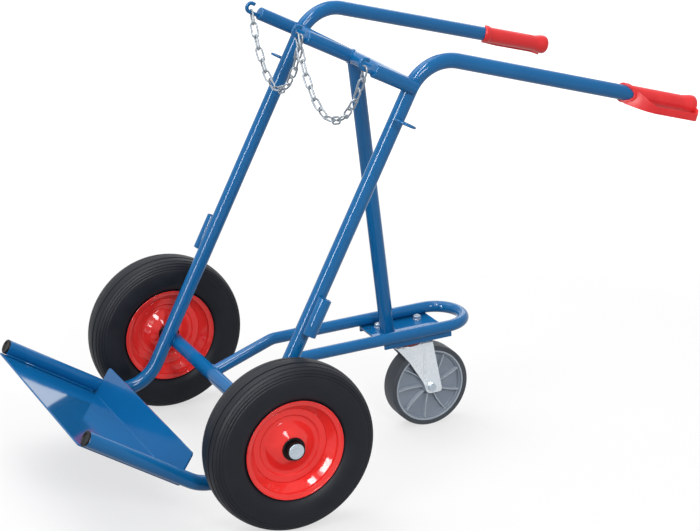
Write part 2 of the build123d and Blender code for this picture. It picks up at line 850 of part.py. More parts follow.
with BuildPart() as swivel_seal:
    with BuildSketch(castor_level(dome_top)):
        Circle(seal_od / 2)
        Circle(seal_od / 2 - seal_wall, mode=Mode.SUBTRACT)
    extrude(amount=cup_bottom - seal_gap - dome_top)
pieces["swivel_seal"] = swivel_seal.part

with BuildPart() as kingpin:
    with BuildSketch(castor_level(crown_bottom - seal_gap)):
        Circle(kingpin_d / 2)
    extrude(amount=-crown_bottom + seal_gap - weld_gap)
    with BuildSketch(castor_level(crown_bottom - seal_gap - kingpin_head_height)):
        Circle(kingpin_head_d / 2)
    extrude(amount=kingpin_head_height)
pieces["kingpin"] = kingpin.part


def castor_point(x):
    """Point on the castor wheel's axis."""
    return castor_centre + across * x


with BuildPart() as castor_axle:
    with BuildSketch(Plane(origin=castor_point(half_fork), z_dir=across)):
        RegularPolygon(castor_axle_head_flats / 2 * hexagon_ratio, 6)
    extrude(amount=castor_axle_head_height)
    with BuildSketch(Plane(origin=castor_point(half_fork), z_dir=-across)):
        Circle(castor_axle_d / 2)
    extrude(amount=2 * half_fork + castor_axle_head_height + castor_axle_tail)
pieces["castor_axle"] = castor_axle.part

with BuildPart() as castor_axle_nut:
    with BuildSketch(Plane(origin=castor_point(-half_fork), z_dir=-across)):
        RegularPolygon(castor_axle_head_flats / 2 * hexagon_ratio, 6)
        Circle(castor_axle_d / 2 + swivel_fit, mode=Mode.SUBTRACT)
    extrude(amount=castor_axle_head_height)
pieces["castor_axle_nut"] = castor_axle_nut.part

half_castor = castor_width / 2
castor_bore = castor_axle_d / 2 + swivel_fit
with BuildPart() as castor_spacers:
    for side in sides.values():
        with BuildSketch(Plane(origin=castor_point(side * half_gap), z_dir=-across * side)):
            Circle(castor_spacer_od / 2)
            Circle(castor_bore, mode=Mode.SUBTRACT)
        extrude(amount=half_gap - half_castor - side_play)
pieces["castor_spacers"] = castor_spacers.part

# Castor wheel: ribbed rim, rubber tread and the bush that turns on the axle
castor_middle = Plane(origin=castor_centre, x_dir=across, z_dir=(0, -1, 0))
castor_axis = Axis(castor_centre, across)
rim_r = castor_rim_d / 2
rim_inner_r = rim_r - castor_rim_wall
hub_outer_r = castor_hub_d / 2
hub_inner_r = castor_bush_od / 2 + swivel_fit
half_castor_rim = castor_rim_width / 2
with BuildPart() as castor_rim:
    with BuildSketch(castor_middle):
        with Locations((0, (hub_inner_r + hub_outer_r) / 2)):
            Rectangle(castor_width, hub_outer_r - hub_inner_r)
        with Locations((0, (hub_outer_r + rim_inner_r) / 2)):
            Rectangle(castor_web, rim_inner_r - hub_outer_r)
        with Locations((0, (rim_inner_r + rim_r) / 2)):
            Rectangle(castor_rim_width, castor_rim_wall)
    revolve(axis=castor_axis)
    rib_middle_r = (hub_outer_r + rim_inner_r) / 2
    rib_length = rim_inner_r - hub_outer_r + 2 * castor_rib_inset
    with BuildSketch(Plane(origin=castor_centre, x_dir=(0, 1, 0), z_dir=across)):
        with PolarLocations(rib_middle_r, castor_rib_count, start_angle=castor_rib_start):
            Rectangle(rib_length, castor_rib_width)
    extrude(amount=half_castor_rim - castor_rib_inset, both=True)
pieces["castor_rim"] = castor_rim.part

tread_inner_r = rim_r + castor_tread_fit
with BuildPart() as castor_tread:
    with BuildSketch(castor_middle):
        with Locations((0, (tread_inner_r + castor_radius) / 2)):
            Rectangle(castor_width, castor_radius - tread_inner_r)
        fillet(vertices().group_by(Axis.Y)[-1], radius=castor_tread_radius)
    revolve(axis=castor_axis)
pieces["castor_tread"] = castor_tread.part

bush_ends = [castor_point(-half_castor), castor_point(half_castor)]
pieces["castor_bush"] = straight_tube(*bush_ends, castor_bush_od, 2 * castor_bore)


def hand_grip(side):
    """Grip turned about the handle bar, with a guard band on its outer side."""
    along = handle_dir(side)
    start = side_tube_points(side)[2] + along * grip_start
    outward = along.cross(Vector(0, 0, 1)).normalized() * side
    lift = outward.cross(along) * side
    bore_r = tube_od / 2 + grip_fit
    bore_depth = grip_socket + grip_fit
    grip_r = grip_od / 2
    collar_r = grip_collar_od / 2
    flare_r = grip_flare_od / 2
    flare_start = grip_length - grip_flare_length
    round_start = grip_length - grip_end_radius
    diagonal = grip_end_radius * sin(radians(45))
    with BuildPart() as grip:
        with BuildSketch(Plane(origin=start, x_dir=along, z_dir=along.cross(outward))):
            with BuildLine():
                Polyline(
                    (round_start, flare_r), (flare_start, grip_r),
                    (grip_collar_length + collar_r - grip_r, grip_r), (grip_collar_length, collar_r),
                    (0, collar_r), (0, bore_r), (bore_depth, bore_r), (bore_depth, 0), (grip_length, 0),
                    (grip_length, flare_r - grip_end_radius),
                )
                ThreePointArc(
                    (grip_length, flare_r - grip_end_radius),
                    (round_start + diagonal, flare_r - grip_end_radius + diagonal),
                    (round_start, flare_r),
                )
            make_face()
        revolve(axis=Axis(start, along))

    web_rear = grip_length - guard_end_inset
    web_front = web_rear - guard_wall
    inside = guard_reach - guard_wall
    with BuildPart() as guard:
        low_plane = Plane(origin=start - lift * guard_bottom, x_dir=along, z_dir=along.cross(outward))
        with BuildSketch(low_plane):
            with BuildLine():
                Bezier((0, grip_r), (guard_flare / 3, guard_reach), (guard_flare, guard_reach))
                Polyline(
                    (guard_flare, guard_reach), (web_rear, guard_reach), (web_rear, grip_r / 2),
                    (web_front, grip_r / 2), (web_front, inside), (guard_flare, inside),
                )
                Bezier((guard_flare, inside), (guard_flare / 3 + guard_wall, inside), (guard_wall, grip_r))
                Line((guard_wall, grip_r), (0, grip_r))
            make_face()
        extrude(amount=guard_bottom + guard_top, dir=lift)
        with BuildSketch(Plane(origin=start, x_dir=along, z_dir=along.cross(lift))):
            with BuildLine():
                Polyline(
                    (0, -guard_front_bottom), (0, guard_top), (grip_collar_length, guard_top),
                    (guard_flare, -guard_band_top), (grip_length, -guard_band_top),
                    (grip_length, -guard_bottom), (guard_flare, -guard_bottom), close=True,
                )
            make_face()
        extrude(amount=2 * guard_reach, both=True, mode=Mode.INTERSECT)
    with BuildPart() as whole:
        add(grip.part)
        add(guard.part)
    return whole.part


for name, side in sides.items():
    pieces[f"grip_{name}"] = hand_grip(side)

# Write each piece with the origin on the ground under the middle of the trolley
front_end = pieces["toe_plate"].bounding_box().min.Y
rear_end = pieces["grip_left"].bounding_box().max.Y
to_origin = Location((0, -(front_end + rear_end) / 2, 0))
os.makedirs("parts", exist_ok=True)
for name, piece in pieces.items():
    placed = piece.moved(to_origin)
    placed.label = name
    export_step(placed, f"parts/{name}.step")
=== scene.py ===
"""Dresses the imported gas-bottle trolley: tubes, tyres, rims, chains, grips, castor, welds and finishes.

Lengths in the classes are millimetres, laid out with the axle at Y = 0. Every mesh is put into metres in the
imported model's own frame when it is made.
"""
import json
import logging
from dataclasses import dataclass
from enum import Enum
from math import atan, cos, pi, radians, sin, tan
from typing import Any, Sequence

import bmesh
import bpy
import numpy as np
from mathutils import Matrix, Vector


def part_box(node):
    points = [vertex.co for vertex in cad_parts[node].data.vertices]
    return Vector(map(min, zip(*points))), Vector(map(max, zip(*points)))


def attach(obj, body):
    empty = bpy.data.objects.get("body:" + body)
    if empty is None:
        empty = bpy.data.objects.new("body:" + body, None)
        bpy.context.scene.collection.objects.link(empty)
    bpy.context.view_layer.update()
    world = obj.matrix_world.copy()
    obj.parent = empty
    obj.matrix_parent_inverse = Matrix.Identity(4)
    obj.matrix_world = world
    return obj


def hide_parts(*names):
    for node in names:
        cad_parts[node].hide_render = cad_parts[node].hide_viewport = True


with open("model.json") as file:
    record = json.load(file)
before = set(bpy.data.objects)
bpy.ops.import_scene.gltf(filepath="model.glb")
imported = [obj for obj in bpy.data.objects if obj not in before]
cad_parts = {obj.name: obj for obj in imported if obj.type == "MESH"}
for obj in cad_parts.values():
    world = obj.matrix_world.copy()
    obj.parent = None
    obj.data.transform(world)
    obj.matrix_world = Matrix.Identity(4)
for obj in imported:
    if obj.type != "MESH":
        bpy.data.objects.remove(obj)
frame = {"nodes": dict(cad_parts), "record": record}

log = logging.getLogger("trolley")
Array = np.ndarray
Pair = tuple[float, float]
Triple = tuple[float, float, float]

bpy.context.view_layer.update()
AXLE_LOW, AXLE_HIGH = (np.array(corner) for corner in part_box("axle_bar"))
AXLE_PLACE = (AXLE_LOW + AXLE_HIGH) / 2
MM = 0.001
ACROSS = np.array([1.0, 0.0, 0.0])
UP = np.array([0.0, 0.0, 1.0])
NEARLY_PARALLEL = 0.9
MERGE_DISTANCE = 1e-7
TUBE_EDGE = 0.8
LARGEST_ARC_SHARE = 0.49
LEAST_TURN = 1e-4
LEAST_LENGTH = 1e-6


class Body(Enum):
    """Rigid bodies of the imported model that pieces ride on."""

    FRAME = "frame"
    WHEEL_LEFT = "wheel_left"
    WHEEL_RIGHT = "wheel_right"
    SWIVEL = "castor_swivel"
    CASTOR = "castor_wheel"
    CHAIN_LEFT = "chain_left"
    CHAIN_RIGHT = "chain_right"


class Side(Enum):
    """Left and right, with the sign of X on that side."""

    LEFT = ("left", 1.0, Body.WHEEL_LEFT, Body.CHAIN_LEFT)
    RIGHT = ("right", -1.0, Body.WHEEL_RIGHT, Body.CHAIN_RIGHT)

    @property
    def word(self) -> str:
        """Name used in node names."""
        return self.value[0]

    @property
    def sign(self) -> float:
        """Sign of X."""
        return self.value[1]

    @property
    def wheel(self) -> Body:
        """Body of the big wheel on this side."""
        return self.value[2]

    @property
    def chain(self) -> Body:
        """Body of the chain on this side."""
        return self.value[3]


def unit(vector: Sequence[float]) -> Array:
    """A vector scaled to length one."""
    v = np.asarray(vector, float)
    return v / np.linalg.norm(v)


@dataclass(frozen=True)
class Layout:
    """Main lines of the frame, shared by every sub-assembly."""

    lean: float = 26.5
    toe_rise: float = 32.0
    handle_fall: float = 15.0
    handle_splay: float = 3.5
    axle_height: float = 195.0
    axle_setback: float = 30.6
    frame_width: float = 584.0
    tube_od: float = 35.0
    toe_corner_drop: float = 173.7
    top_corner_rise: float = 888.6
    toe_length: float = 380.0
    handle_length: float = 658.0
    crossbar_rise: float = 815.0
    arm_od: float = 32.0
    side_arm_length: float = 112.0
    centre_arm_length: float = 131.0
    weld_gap: float = 0.2

    @property
    def up_dir(self) -> Array:
        """Direction up the uprights."""
        return np.array([0, sin(radians(self.lean)), cos(radians(self.lean))])

    @property
    def front_dir(self) -> Array:
        """Direction of the arms, forwards and up, square to the uprights."""
        return np.array([0, -cos(radians(self.lean)), sin(radians(self.lean))])

    @property
    def toe_dir(self) -> Array:
        """Direction along the toe tubes, towards their open ends."""
        return np.array([0, -cos(radians(self.toe_rise)), sin(radians(self.toe_rise))])

    @property
    def toe_up(self) -> Array:
        """Direction square to the toe plate's sheet, upwards."""
        return np.array([0, sin(radians(self.toe_rise)), cos(radians(self.toe_rise))])

    @property
    def axle(self) -> Array:
        """Middle of the axle."""
        return np.array([0, 0, self.axle_height])

    @property
    def half_frame(self) -> float:
        """Distance of the side tubes' centre lines from the middle."""
        return self.frame_width / 2

    def on_upright(self, rise: float, x: float = 0.0) -> Array:
        """Point on the uprights' plane.

        Args:
            rise: distance up the upright from the axle's level.
            x: distance across.

        Returns:
            The point in millimetres.
        """
        foot = self.axle + self.front_dir * self.axle_setback
        return foot + self.up_dir * rise + ACROSS * x

    def handle_dir(self, side: Side) -> Array:
        """Direction of one handle bar, away from its bend.

        Args:
            side: which handle.

        Returns:
            The unit vector.
        """
        level = cos(radians(self.handle_splay))
        fall = radians(self.handle_fall)
        return np.array([side.sign * sin(radians(self.handle_splay)), level * cos(fall), -level * sin(fall)])

    def side_tube(self, side: Side) -> list[Array]:
        """Corners of one side tube's centre line.

        Args:
            side: which tube.

        Returns:
            Toe end, toe corner, top corner and handle end.
        """
        x = side.sign * self.half_frame
        toe = self.on_upright(-self.toe_corner_drop, x)
        top = self.on_upright(self.top_corner_rise, x)
        toe_end = toe + self.toe_dir * self.toe_length
        handle_end = top + self.handle_dir(side) * self.handle_length
        return [toe_end, toe, top, handle_end]

    def arm_root(self, x: float) -> Array:
        """Point on the crossbar's line that an arm starts from."""
        return self.on_upright(self.crossbar_rise, x)


PLAN = Layout()


def to_packed(points: Array) -> Array:
    """Millimetres with the axle at Y = 0 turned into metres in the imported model's frame."""
    return np.asarray(points, float) * MM + np.array([AXLE_PLACE[0], AXLE_PLACE[1], 0.0])


def full_turn(count: int) -> Array:
    """Evenly spaced angles of one turn, the first being 0."""
    return np.linspace(0, 2 * pi, count, endpoint=False)


def spokes_round(along: Array, reference: Array, angles: Array) -> Array:
    """Unit vectors square to a direction: cos t x u + sin t x v, with u square to the reference as well.

    Args:
        along: unit vector of the direction.
        reference: a vector that isn't parallel to it.
        angles: the angles t.

    Returns:
        One vector for each angle.
    """
    u = unit(np.cross(along, reference))
    return np.cos(angles)[:, None] * u + np.sin(angles)[:, None] * np.cross(along, u)


def grid_faces(rows: int, columns: int, wrap_rows: bool, wrap_columns: bool) -> Array:
    """Quads of a grid of points numbered row by row.

    Args:
        rows: number of rows.
        columns: points in a row.
        wrap_rows: whether the last row joins the first.
        wrap_columns: whether a row's last point joins its first.

    Returns:
        Array of four point numbers per face.
    """
    i, j = np.meshgrid(
        np.arange(rows if wrap_rows else rows - 1),
        np.arange(columns if wrap_columns else columns - 1),
        indexing="ij",
    )
    below, beside = (i + 1) % rows, (j + 1) % columns
    corners = [i * columns + j, below * columns + j, below * columns + beside, i * columns + beside]
    return np.stack([corner.ravel() for corner in corners], axis=1)


@dataclass
class Shape:
    """Points in millimetres, and faces as tuples of point numbers."""

    points: Array
    faces: list[tuple[int, ...]]

    def joined(self, other: "Shape") -> "Shape":
        """This shape and another as one, unwelded.

        Args:
            other: the shape to add.

        Returns:
            A new shape.
        """
        shift = len(self.points)
        moved = [tuple(int(n) + shift for n in face) for face in other.faces]
        return Shape(np.vstack([self.points, other.points]), list(self.faces) + moved)


def together(shapes: Sequence[Shape]) -> Shape:
    """Several shapes as one, unwelded.

    Args:
        shapes: one or more shapes.

    Returns:
        A new shape.
    """
    total = shapes[0]
    for shape in shapes[1:]:
        total = total.joined(shape)
    return total


def sheet_of(points: Array, wrap_rows: bool = False, wrap_columns: bool = False) -> Shape:
    """Skin over a grid of points.

    Args:
        points: grid with the size rows x columns x 3.
        wrap_rows: whether the last row joins the first.
        wrap_columns: whether a row's last point joins its first.

    Returns:
        The skin.
    """
    rows, columns = points.shape[:2]
    faces = grid_faces(rows, columns, wrap_rows, wrap_columns)
    return Shape(points.reshape(-1, 3), [tuple(face) for face in faces.tolist()])


def capped(points: Array) -> Shape:
    """Closed skin over rings of points, with each end a fan round the middle of its ring.

    Args:
        points: grid in which each row is a ring.

    Returns:
        The skin.
    """
    rows, columns = points.shape[:2]
    body = sheet_of(points, wrap_columns=True)
    ends = np.vstack([points[0].mean(axis=0), points[-1].mean(axis=0)])
    total = rows * columns
    ring = np.arange(columns)
    beside = (ring + 1) % columns
    last = (rows - 1) * columns
    start_fan = np.stack([np.full(columns, total), ring, beside], axis=1)
    end_fan = np.stack([np.full(columns, total + 1), last + beside, last + ring], axis=1)
    fans = [tuple(face) for face in np.vstack([start_fan, end_fan]).tolist()]
    return Shape(np.vstack([body.points, ends]), body.faces + fans)


def headings(line: Array) -> Array:
    """Unit tangents at the points of a line."""
    ahead = np.gradient(line, axis=0)
    return ahead / np.linalg.norm(ahead, axis=1)[:, None]


def ring_headings(ring: Array) -> Array:
    """Unit tangents at the points of a closed ring."""
    ahead = np.roll(ring, -1, axis=0) - np.roll(ring, 1, axis=0)
    return ahead / np.linalg.norm(ahead, axis=1)[:, None]


def route(points: Sequence[Array], radii: Sequence[float], arc_steps: int = 20) -> tuple[Array, Array]:
    """Straight runs joined by round bends.

    At a corner the bend's centre lies on the half-angle line, and the arc starts radius x tan(half the turn)
    before the corner.

    Args:
        points: corners of the line.
        radii: bend radius at each inner corner.
        arc_steps: steps in one bend.

    Returns:
        Points along the line and the unit tangent at each.
    """
    places, tangents = [np.asarray(points[0], float)], [unit(points[1] - points[0])]
    for before, corner, after, radius in zip(points, points[1:], points[2:], radii):
        into, out = unit(corner - before), unit(after - corner)
        turn = np.arccos(np.clip(into @ out, -1, 1))
        side = unit(out - into * (into @ out))
        start = corner - into * radius * tan(turn / 2)
        angles = np.linspace(0, turn, arc_steps + 1)[:, None]
        places.extend(start + radius * (np.sin(angles) * into + (1 - np.cos(angles)) * side))
        tangents.extend(np.cos(angles) * into + np.sin(angles) * side)
    places.append(np.asarray(points[-1], float))
    tangents.append(unit(points[-1] - points[-2]))
    return np.array(places), np.array(tangents)


def rings_along(places: Array, tangents: Array, radius: Array, reference: Array, count: int) -> Array:
    """Rings of points round a line: place + radius x (cos t x normal + sin t x binormal).

    Args:
        places: points on the line.
        tangents: unit tangents there.
        radius: one radius per place, or one per place and ring point.
        reference: direction that no tangent follows, which sets where each ring starts.
        count: points in a ring.

    Returns:
        Grid of points, one row for each place.
    """
    normal = reference - (tangents @ reference)[:, None] * tangents
    normal /= np.linalg.norm(normal, axis=1)[:, None]
    binormal = np.cross(tangents, normal)
    angle = full_turn(count)[None, :, None]
    spokes = np.cos(angle) * normal[:, None] + np.sin(angle) * binormal[:, None]
    reach = radius[:, None] if radius.ndim == 1 else radius
    return places[:, None] + reach[:, :, None] * spokes


def tube(points: Sequence[Array], radii: Sequence[float], outer_d: float, reference: Array,
         count: int = 48) -> Shape:
    """Round bar along bent runs, with a small rounding where it ends.

    Args:
        points: corners of the centre line.
        radii: bend radius at each inner corner.
        outer_d: outer diameter.
        reference: direction that no run follows.
        count: points round the bar.

    Returns:
        A closed skin.
    """
    places, tangents = route([np.asarray(p, float) for p in points], radii)
    places = np.vstack([places[0], places[0] + tangents[0] * TUBE_EDGE, places[1:-1],
                        places[-1] - tangents[-1] * TUBE_EDGE, places[-1]])
    tangents = np.vstack([tangents[0], tangents, tangents[-1]])
    reach = np.full(len(places), outer_d / 2)
    reach[[0, -1]] -= TUBE_EDGE
    return capped(rings_along(places, tangents, reach, reference, count))


def rounded(outline: Sequence[Triple], steps: int = 6, closed: bool = True) -> Array:
    """Polygon whose corners are replaced by arcs.

    Each arc starts radius x tan(half the turn) before its corner, at most a set share of the shorter side.

    Args:
        outline: corners, each with the radius of its arc, which is 0 for a sharp one.
        steps: steps in an arc.
        closed: whether the last corner joins the first.

    Returns:
        Array of points in the plane.
    """
    corners = np.array([(x, y) for x, y, _ in outline], float)
    points: list[Array] = []
    total = len(corners)
    for index, (corner, (_, _, wanted)) in enumerate(zip(corners, outline)):
        if wanted == 0 or (not closed and index in (0, total - 1)):
            points.append(corner)
            continue
        before, after = corners[index - 1], corners[(index + 1) % total]
        into, out = unit(corner - before), unit(after - corner)
        turn = np.arccos(np.clip(into @ out, -1, 1))
        if turn < LEAST_TURN:
            points.append(corner)
            continue
        room = LARGEST_ARC_SHARE * min(np.linalg.norm(corner - before), np.linalg.norm(after - corner))
        reach = min(wanted * tan(turn / 2), room)
        radius = reach / tan(turn / 2)
        side = unit(out - into * (into @ out))
        angles = np.linspace(0, turn, steps + 1)[:, None]
        points.extend(corner - into * reach + radius * (np.sin(angles) * into + (1 - np.cos(angles)) * side))
    return np.array(points)


def flipped(outline: Sequence[Triple], way: float = -1.0) -> list[Triple]:
    """An outline of rounded corners with its first coordinate multiplied by a sign."""
    return [(way * x, y, turn) for x, y, turn in outline]


def curve(start: Pair, pull: Pair, end: Pair, steps: int) -> Array:
    """Quadratic curve (1-t)^2 start + 2t(1-t) pull + t^2 end, with steps + 1 points."""
    t = np.linspace(0, 1, steps + 1)[:, None]
    return (1 - t) ** 2 * np.array(start) + 2 * t * (1 - t) * np.array(pull) + t ** 2 * np.array(end)


def lathe(profile: Array, centre: Array, axis: Array, count: int = 64, closed: bool = True) -> Shape:
    """Turn a profile of (distance along the axis, radius): centre + d x axis + r x (cos t x u + sin t x v).

    Args:
        profile: points of the section.
        centre: point on the axis.
        axis: direction of the axis.
        count: steps round the axis.
        closed: whether the section is a closed ring; an open one starts and ends on the axis.

    Returns:
        The turned shape.
    """
    along = unit(axis)
    reference = UP if abs(along[2]) < NEARLY_PARALLEL else ACROSS
    spokes = spokes_round(along, reference, full_turn(count))
    points = centre + profile[None, :, 0, None] * along + profile[None, :, 1, None] * spokes[:, None, :]
    return sheet_of(points, wrap_rows=True, wrap_columns=closed)


NUT_POINTS = 72
NUT_LEVELS = np.array([0.0, 0.84, 0.92, 1.0])
NUT_CONE = np.array([1.16, 1.16, 1.09, 0.98])


def hexagon(centre: Array, axis: Array, flats: float, height: float, bore_r: float) -> Shape:
    """Six-sided nut whose corners are cut to a cone at its outer end.

    The radius of the side at angle t is (flats / 2) / cos(t - nearest flat's middle), and no more than the
    cone's, which is given at a few levels as shares of the height and of half the flats.

    Args:
        centre: middle of the seat.
        axis: direction away from the seat.
        flats: distance across the flats.
        height: height of the nut.
        bore_r: radius of its bore.

    Returns:
        A closed ring.
    """
    along = unit(axis)
    angle = full_turn(NUT_POINTS)
    side = flats / 2 / np.cos((angle + pi / 6) % (pi / 3) - pi / 6)
    outer = np.minimum(side[None, :], (flats / 2 * NUT_CONE)[:, None])
    reach = np.vstack([outer, np.full((2, NUT_POINTS), bore_r)])
    lift = np.concatenate([height * NUT_LEVELS, [height, 0.0]])
    spokes = spokes_round(along, ACROSS if abs(along[0]) < NEARLY_PARALLEL else UP, angle)
    points = centre + reach[:, :, None] * spokes[None] + lift[:, None, None] * along
    return sheet_of(points, wrap_rows=True, wrap_columns=True)


def set_inputs(node: bpy.types.Node, values: dict[str, Any]) -> None:
    """Set a node's own values by the names of its sockets."""
    for label, value in values.items():
        node.inputs[label].default_value = value


@dataclass(frozen=True)
class Finish:
    """A surface finish: two tones that mottle into each other, roughness, fine relief, an optional coat."""

    name: str
    slot: str
    tone: Triple
    second_tone: Triple
    mottle_scale: float
    roughness: Pair
    relief_scale: float
    relief_depth: float
    metallic: float = 0.0
    coat: float = 0.0
    coat_roughness: float = 0.05
    specular: float = 0.5

    def material(self, groups: "SurfaceGroups") -> bpy.types.Material:
        """Build the finish's node material.

        Args:
            groups: the shared node groups.

        Returns:
            The new material.
        """
        made = bpy.data.materials.new(self.name)
        made.use_nodes = True
        nodes, links = made.node_tree.nodes, made.node_tree.links
        shader = nodes["Principled BSDF"]
        set_inputs(shader, {"Metallic": self.metallic, "Coat Weight": self.coat,
                            "Coat Roughness": self.coat_roughness, "Specular IOR Level": self.specular})
        place = nodes.new("ShaderNodeTexCoord")
        mottle = nodes.new("ShaderNodeGroup")
        mottle.node_tree = groups.mottle
        smoothest, roughest = self.roughness
        set_inputs(mottle, {"Tone": (*self.tone, 1), "Second tone": (*self.second_tone, 1),
                            "Scale": self.mottle_scale, "Smoothest": smoothest, "Roughest": roughest})
        links.new(place.outputs["Object"], mottle.inputs["Vector"])
        links.new(mottle.outputs["Colour"], shader.inputs["Base Color"])
        links.new(mottle.outputs["Roughness"], shader.inputs["Roughness"])
        relief = nodes.new("ShaderNodeGroup")
        relief.node_tree = groups.relief
        set_inputs(relief, {"Scale": self.relief_scale})
        links.new(place.outputs["Object"], relief.inputs["Vector"])
        bump = nodes.new("ShaderNodeBump")
        set_inputs(bump, {"Strength": 1.0, "Distance": self.relief_depth})
        links.new(relief.outputs["Height"], bump.inputs["Height"])
        links.new(bump.outputs["Normal"], shader.inputs["Normal"])
        return made


class Socket(Enum):
    """Kinds of socket on a node group."""

    VECTOR = "NodeSocketVector"
    COLOUR = "NodeSocketColor"
    NUMBER = "NodeSocketFloat"


class SurfaceGroups:
    """The shader node groups that every finish shares."""

    def __init__(self) -> None:
        """Build both groups."""
        self.mottle = self._mottle()
        self.relief = self._relief()

    @staticmethod
    def _group(name: str, inputs: dict[str, Socket], outputs: dict[str, Socket]) -> bpy.types.NodeTree:
        """New node group with named sockets.

        Args:
            name: group name.
            inputs: kind of each input by its name.
            outputs: the same for the outputs.

        Returns:
            The group's tree, with its input and output nodes.
        """
        tree = bpy.data.node_groups.new(name, "ShaderNodeTree")
        for way, sockets in (("INPUT", inputs), ("OUTPUT", outputs)):
            for label, kind in sockets.items():
                tree.interface.new_socket(label, in_out=way, socket_type=kind.value)
        tree.nodes.new("NodeGroupInput").name = "in"
        tree.nodes.new("NodeGroupOutput").name = "out"
        return tree

    def _mottle(self) -> bpy.types.NodeTree:
        """Colour and roughness that drift together with a soft noise.

        Returns:
            The group's tree.
        """
        tree = self._group(
            "soft_mottle",
            {"Vector": Socket.VECTOR, "Tone": Socket.COLOUR, "Second tone": Socket.COLOUR,
             "Scale": Socket.NUMBER, "Smoothest": Socket.NUMBER, "Roughest": Socket.NUMBER},
            {"Colour": Socket.COLOUR, "Roughness": Socket.NUMBER},
        )
        given, out = tree.nodes["in"], tree.nodes["out"]
        noise = tree.nodes.new("ShaderNodeTexNoise")
        set_inputs(noise, {"Detail": 5.0})
        tree.links.new(given.outputs["Vector"], noise.inputs["Vector"])
        tree.links.new(given.outputs["Scale"], noise.inputs["Scale"])
        spread = tree.nodes.new("ShaderNodeMapRange")
        set_inputs(spread, {"From Min": 0.3, "From Max": 0.7})
        tree.links.new(noise.outputs["Fac"], spread.inputs["Value"])
        blend = tree.nodes.new("ShaderNodeMix")
        blend.data_type = "RGBA"
        tree.links.new(spread.outputs["Result"], blend.inputs["Factor"])
        tree.links.new(given.outputs["Tone"], blend.inputs["A"])
        tree.links.new(given.outputs["Second tone"], blend.inputs["B"])
        tree.links.new(blend.outputs["Result"], out.inputs["Colour"])
        rough = tree.nodes.new("ShaderNodeMapRange")
        tree.links.new(spread.outputs["Result"], rough.inputs["Value"])
        tree.links.new(given.outputs["Smoothest"], rough.inputs["To Min"])
        tree.links.new(given.outputs["Roughest"], rough.inputs["To Max"])
        tree.links.new(rough.outputs["Result"], out.inputs["Roughness"])
        return tree

    def _relief(self) -> bpy.types.NodeTree:
        """Height of a fine, even grain.

        Returns:
            The group's tree.
        """
        tree = self._group(
            "fine_relief",
            {"Vector": Socket.VECTOR, "Scale": Socket.NUMBER},
            {"Height": Socket.NUMBER},
        )
        given, out = tree.nodes["in"], tree.nodes["out"]
        noise = tree.nodes.new("ShaderNodeTexNoise")
        set_inputs(noise, {"Detail": 3.0, "Roughness": 0.55})
        tree.links.new(given.outputs["Vector"], noise.inputs["Vector"])
        tree.links.new(given.outputs["Scale"], noise.inputs["Scale"])
        tree.links.new(noise.outputs["Fac"], out.inputs["Height"])
        return tree


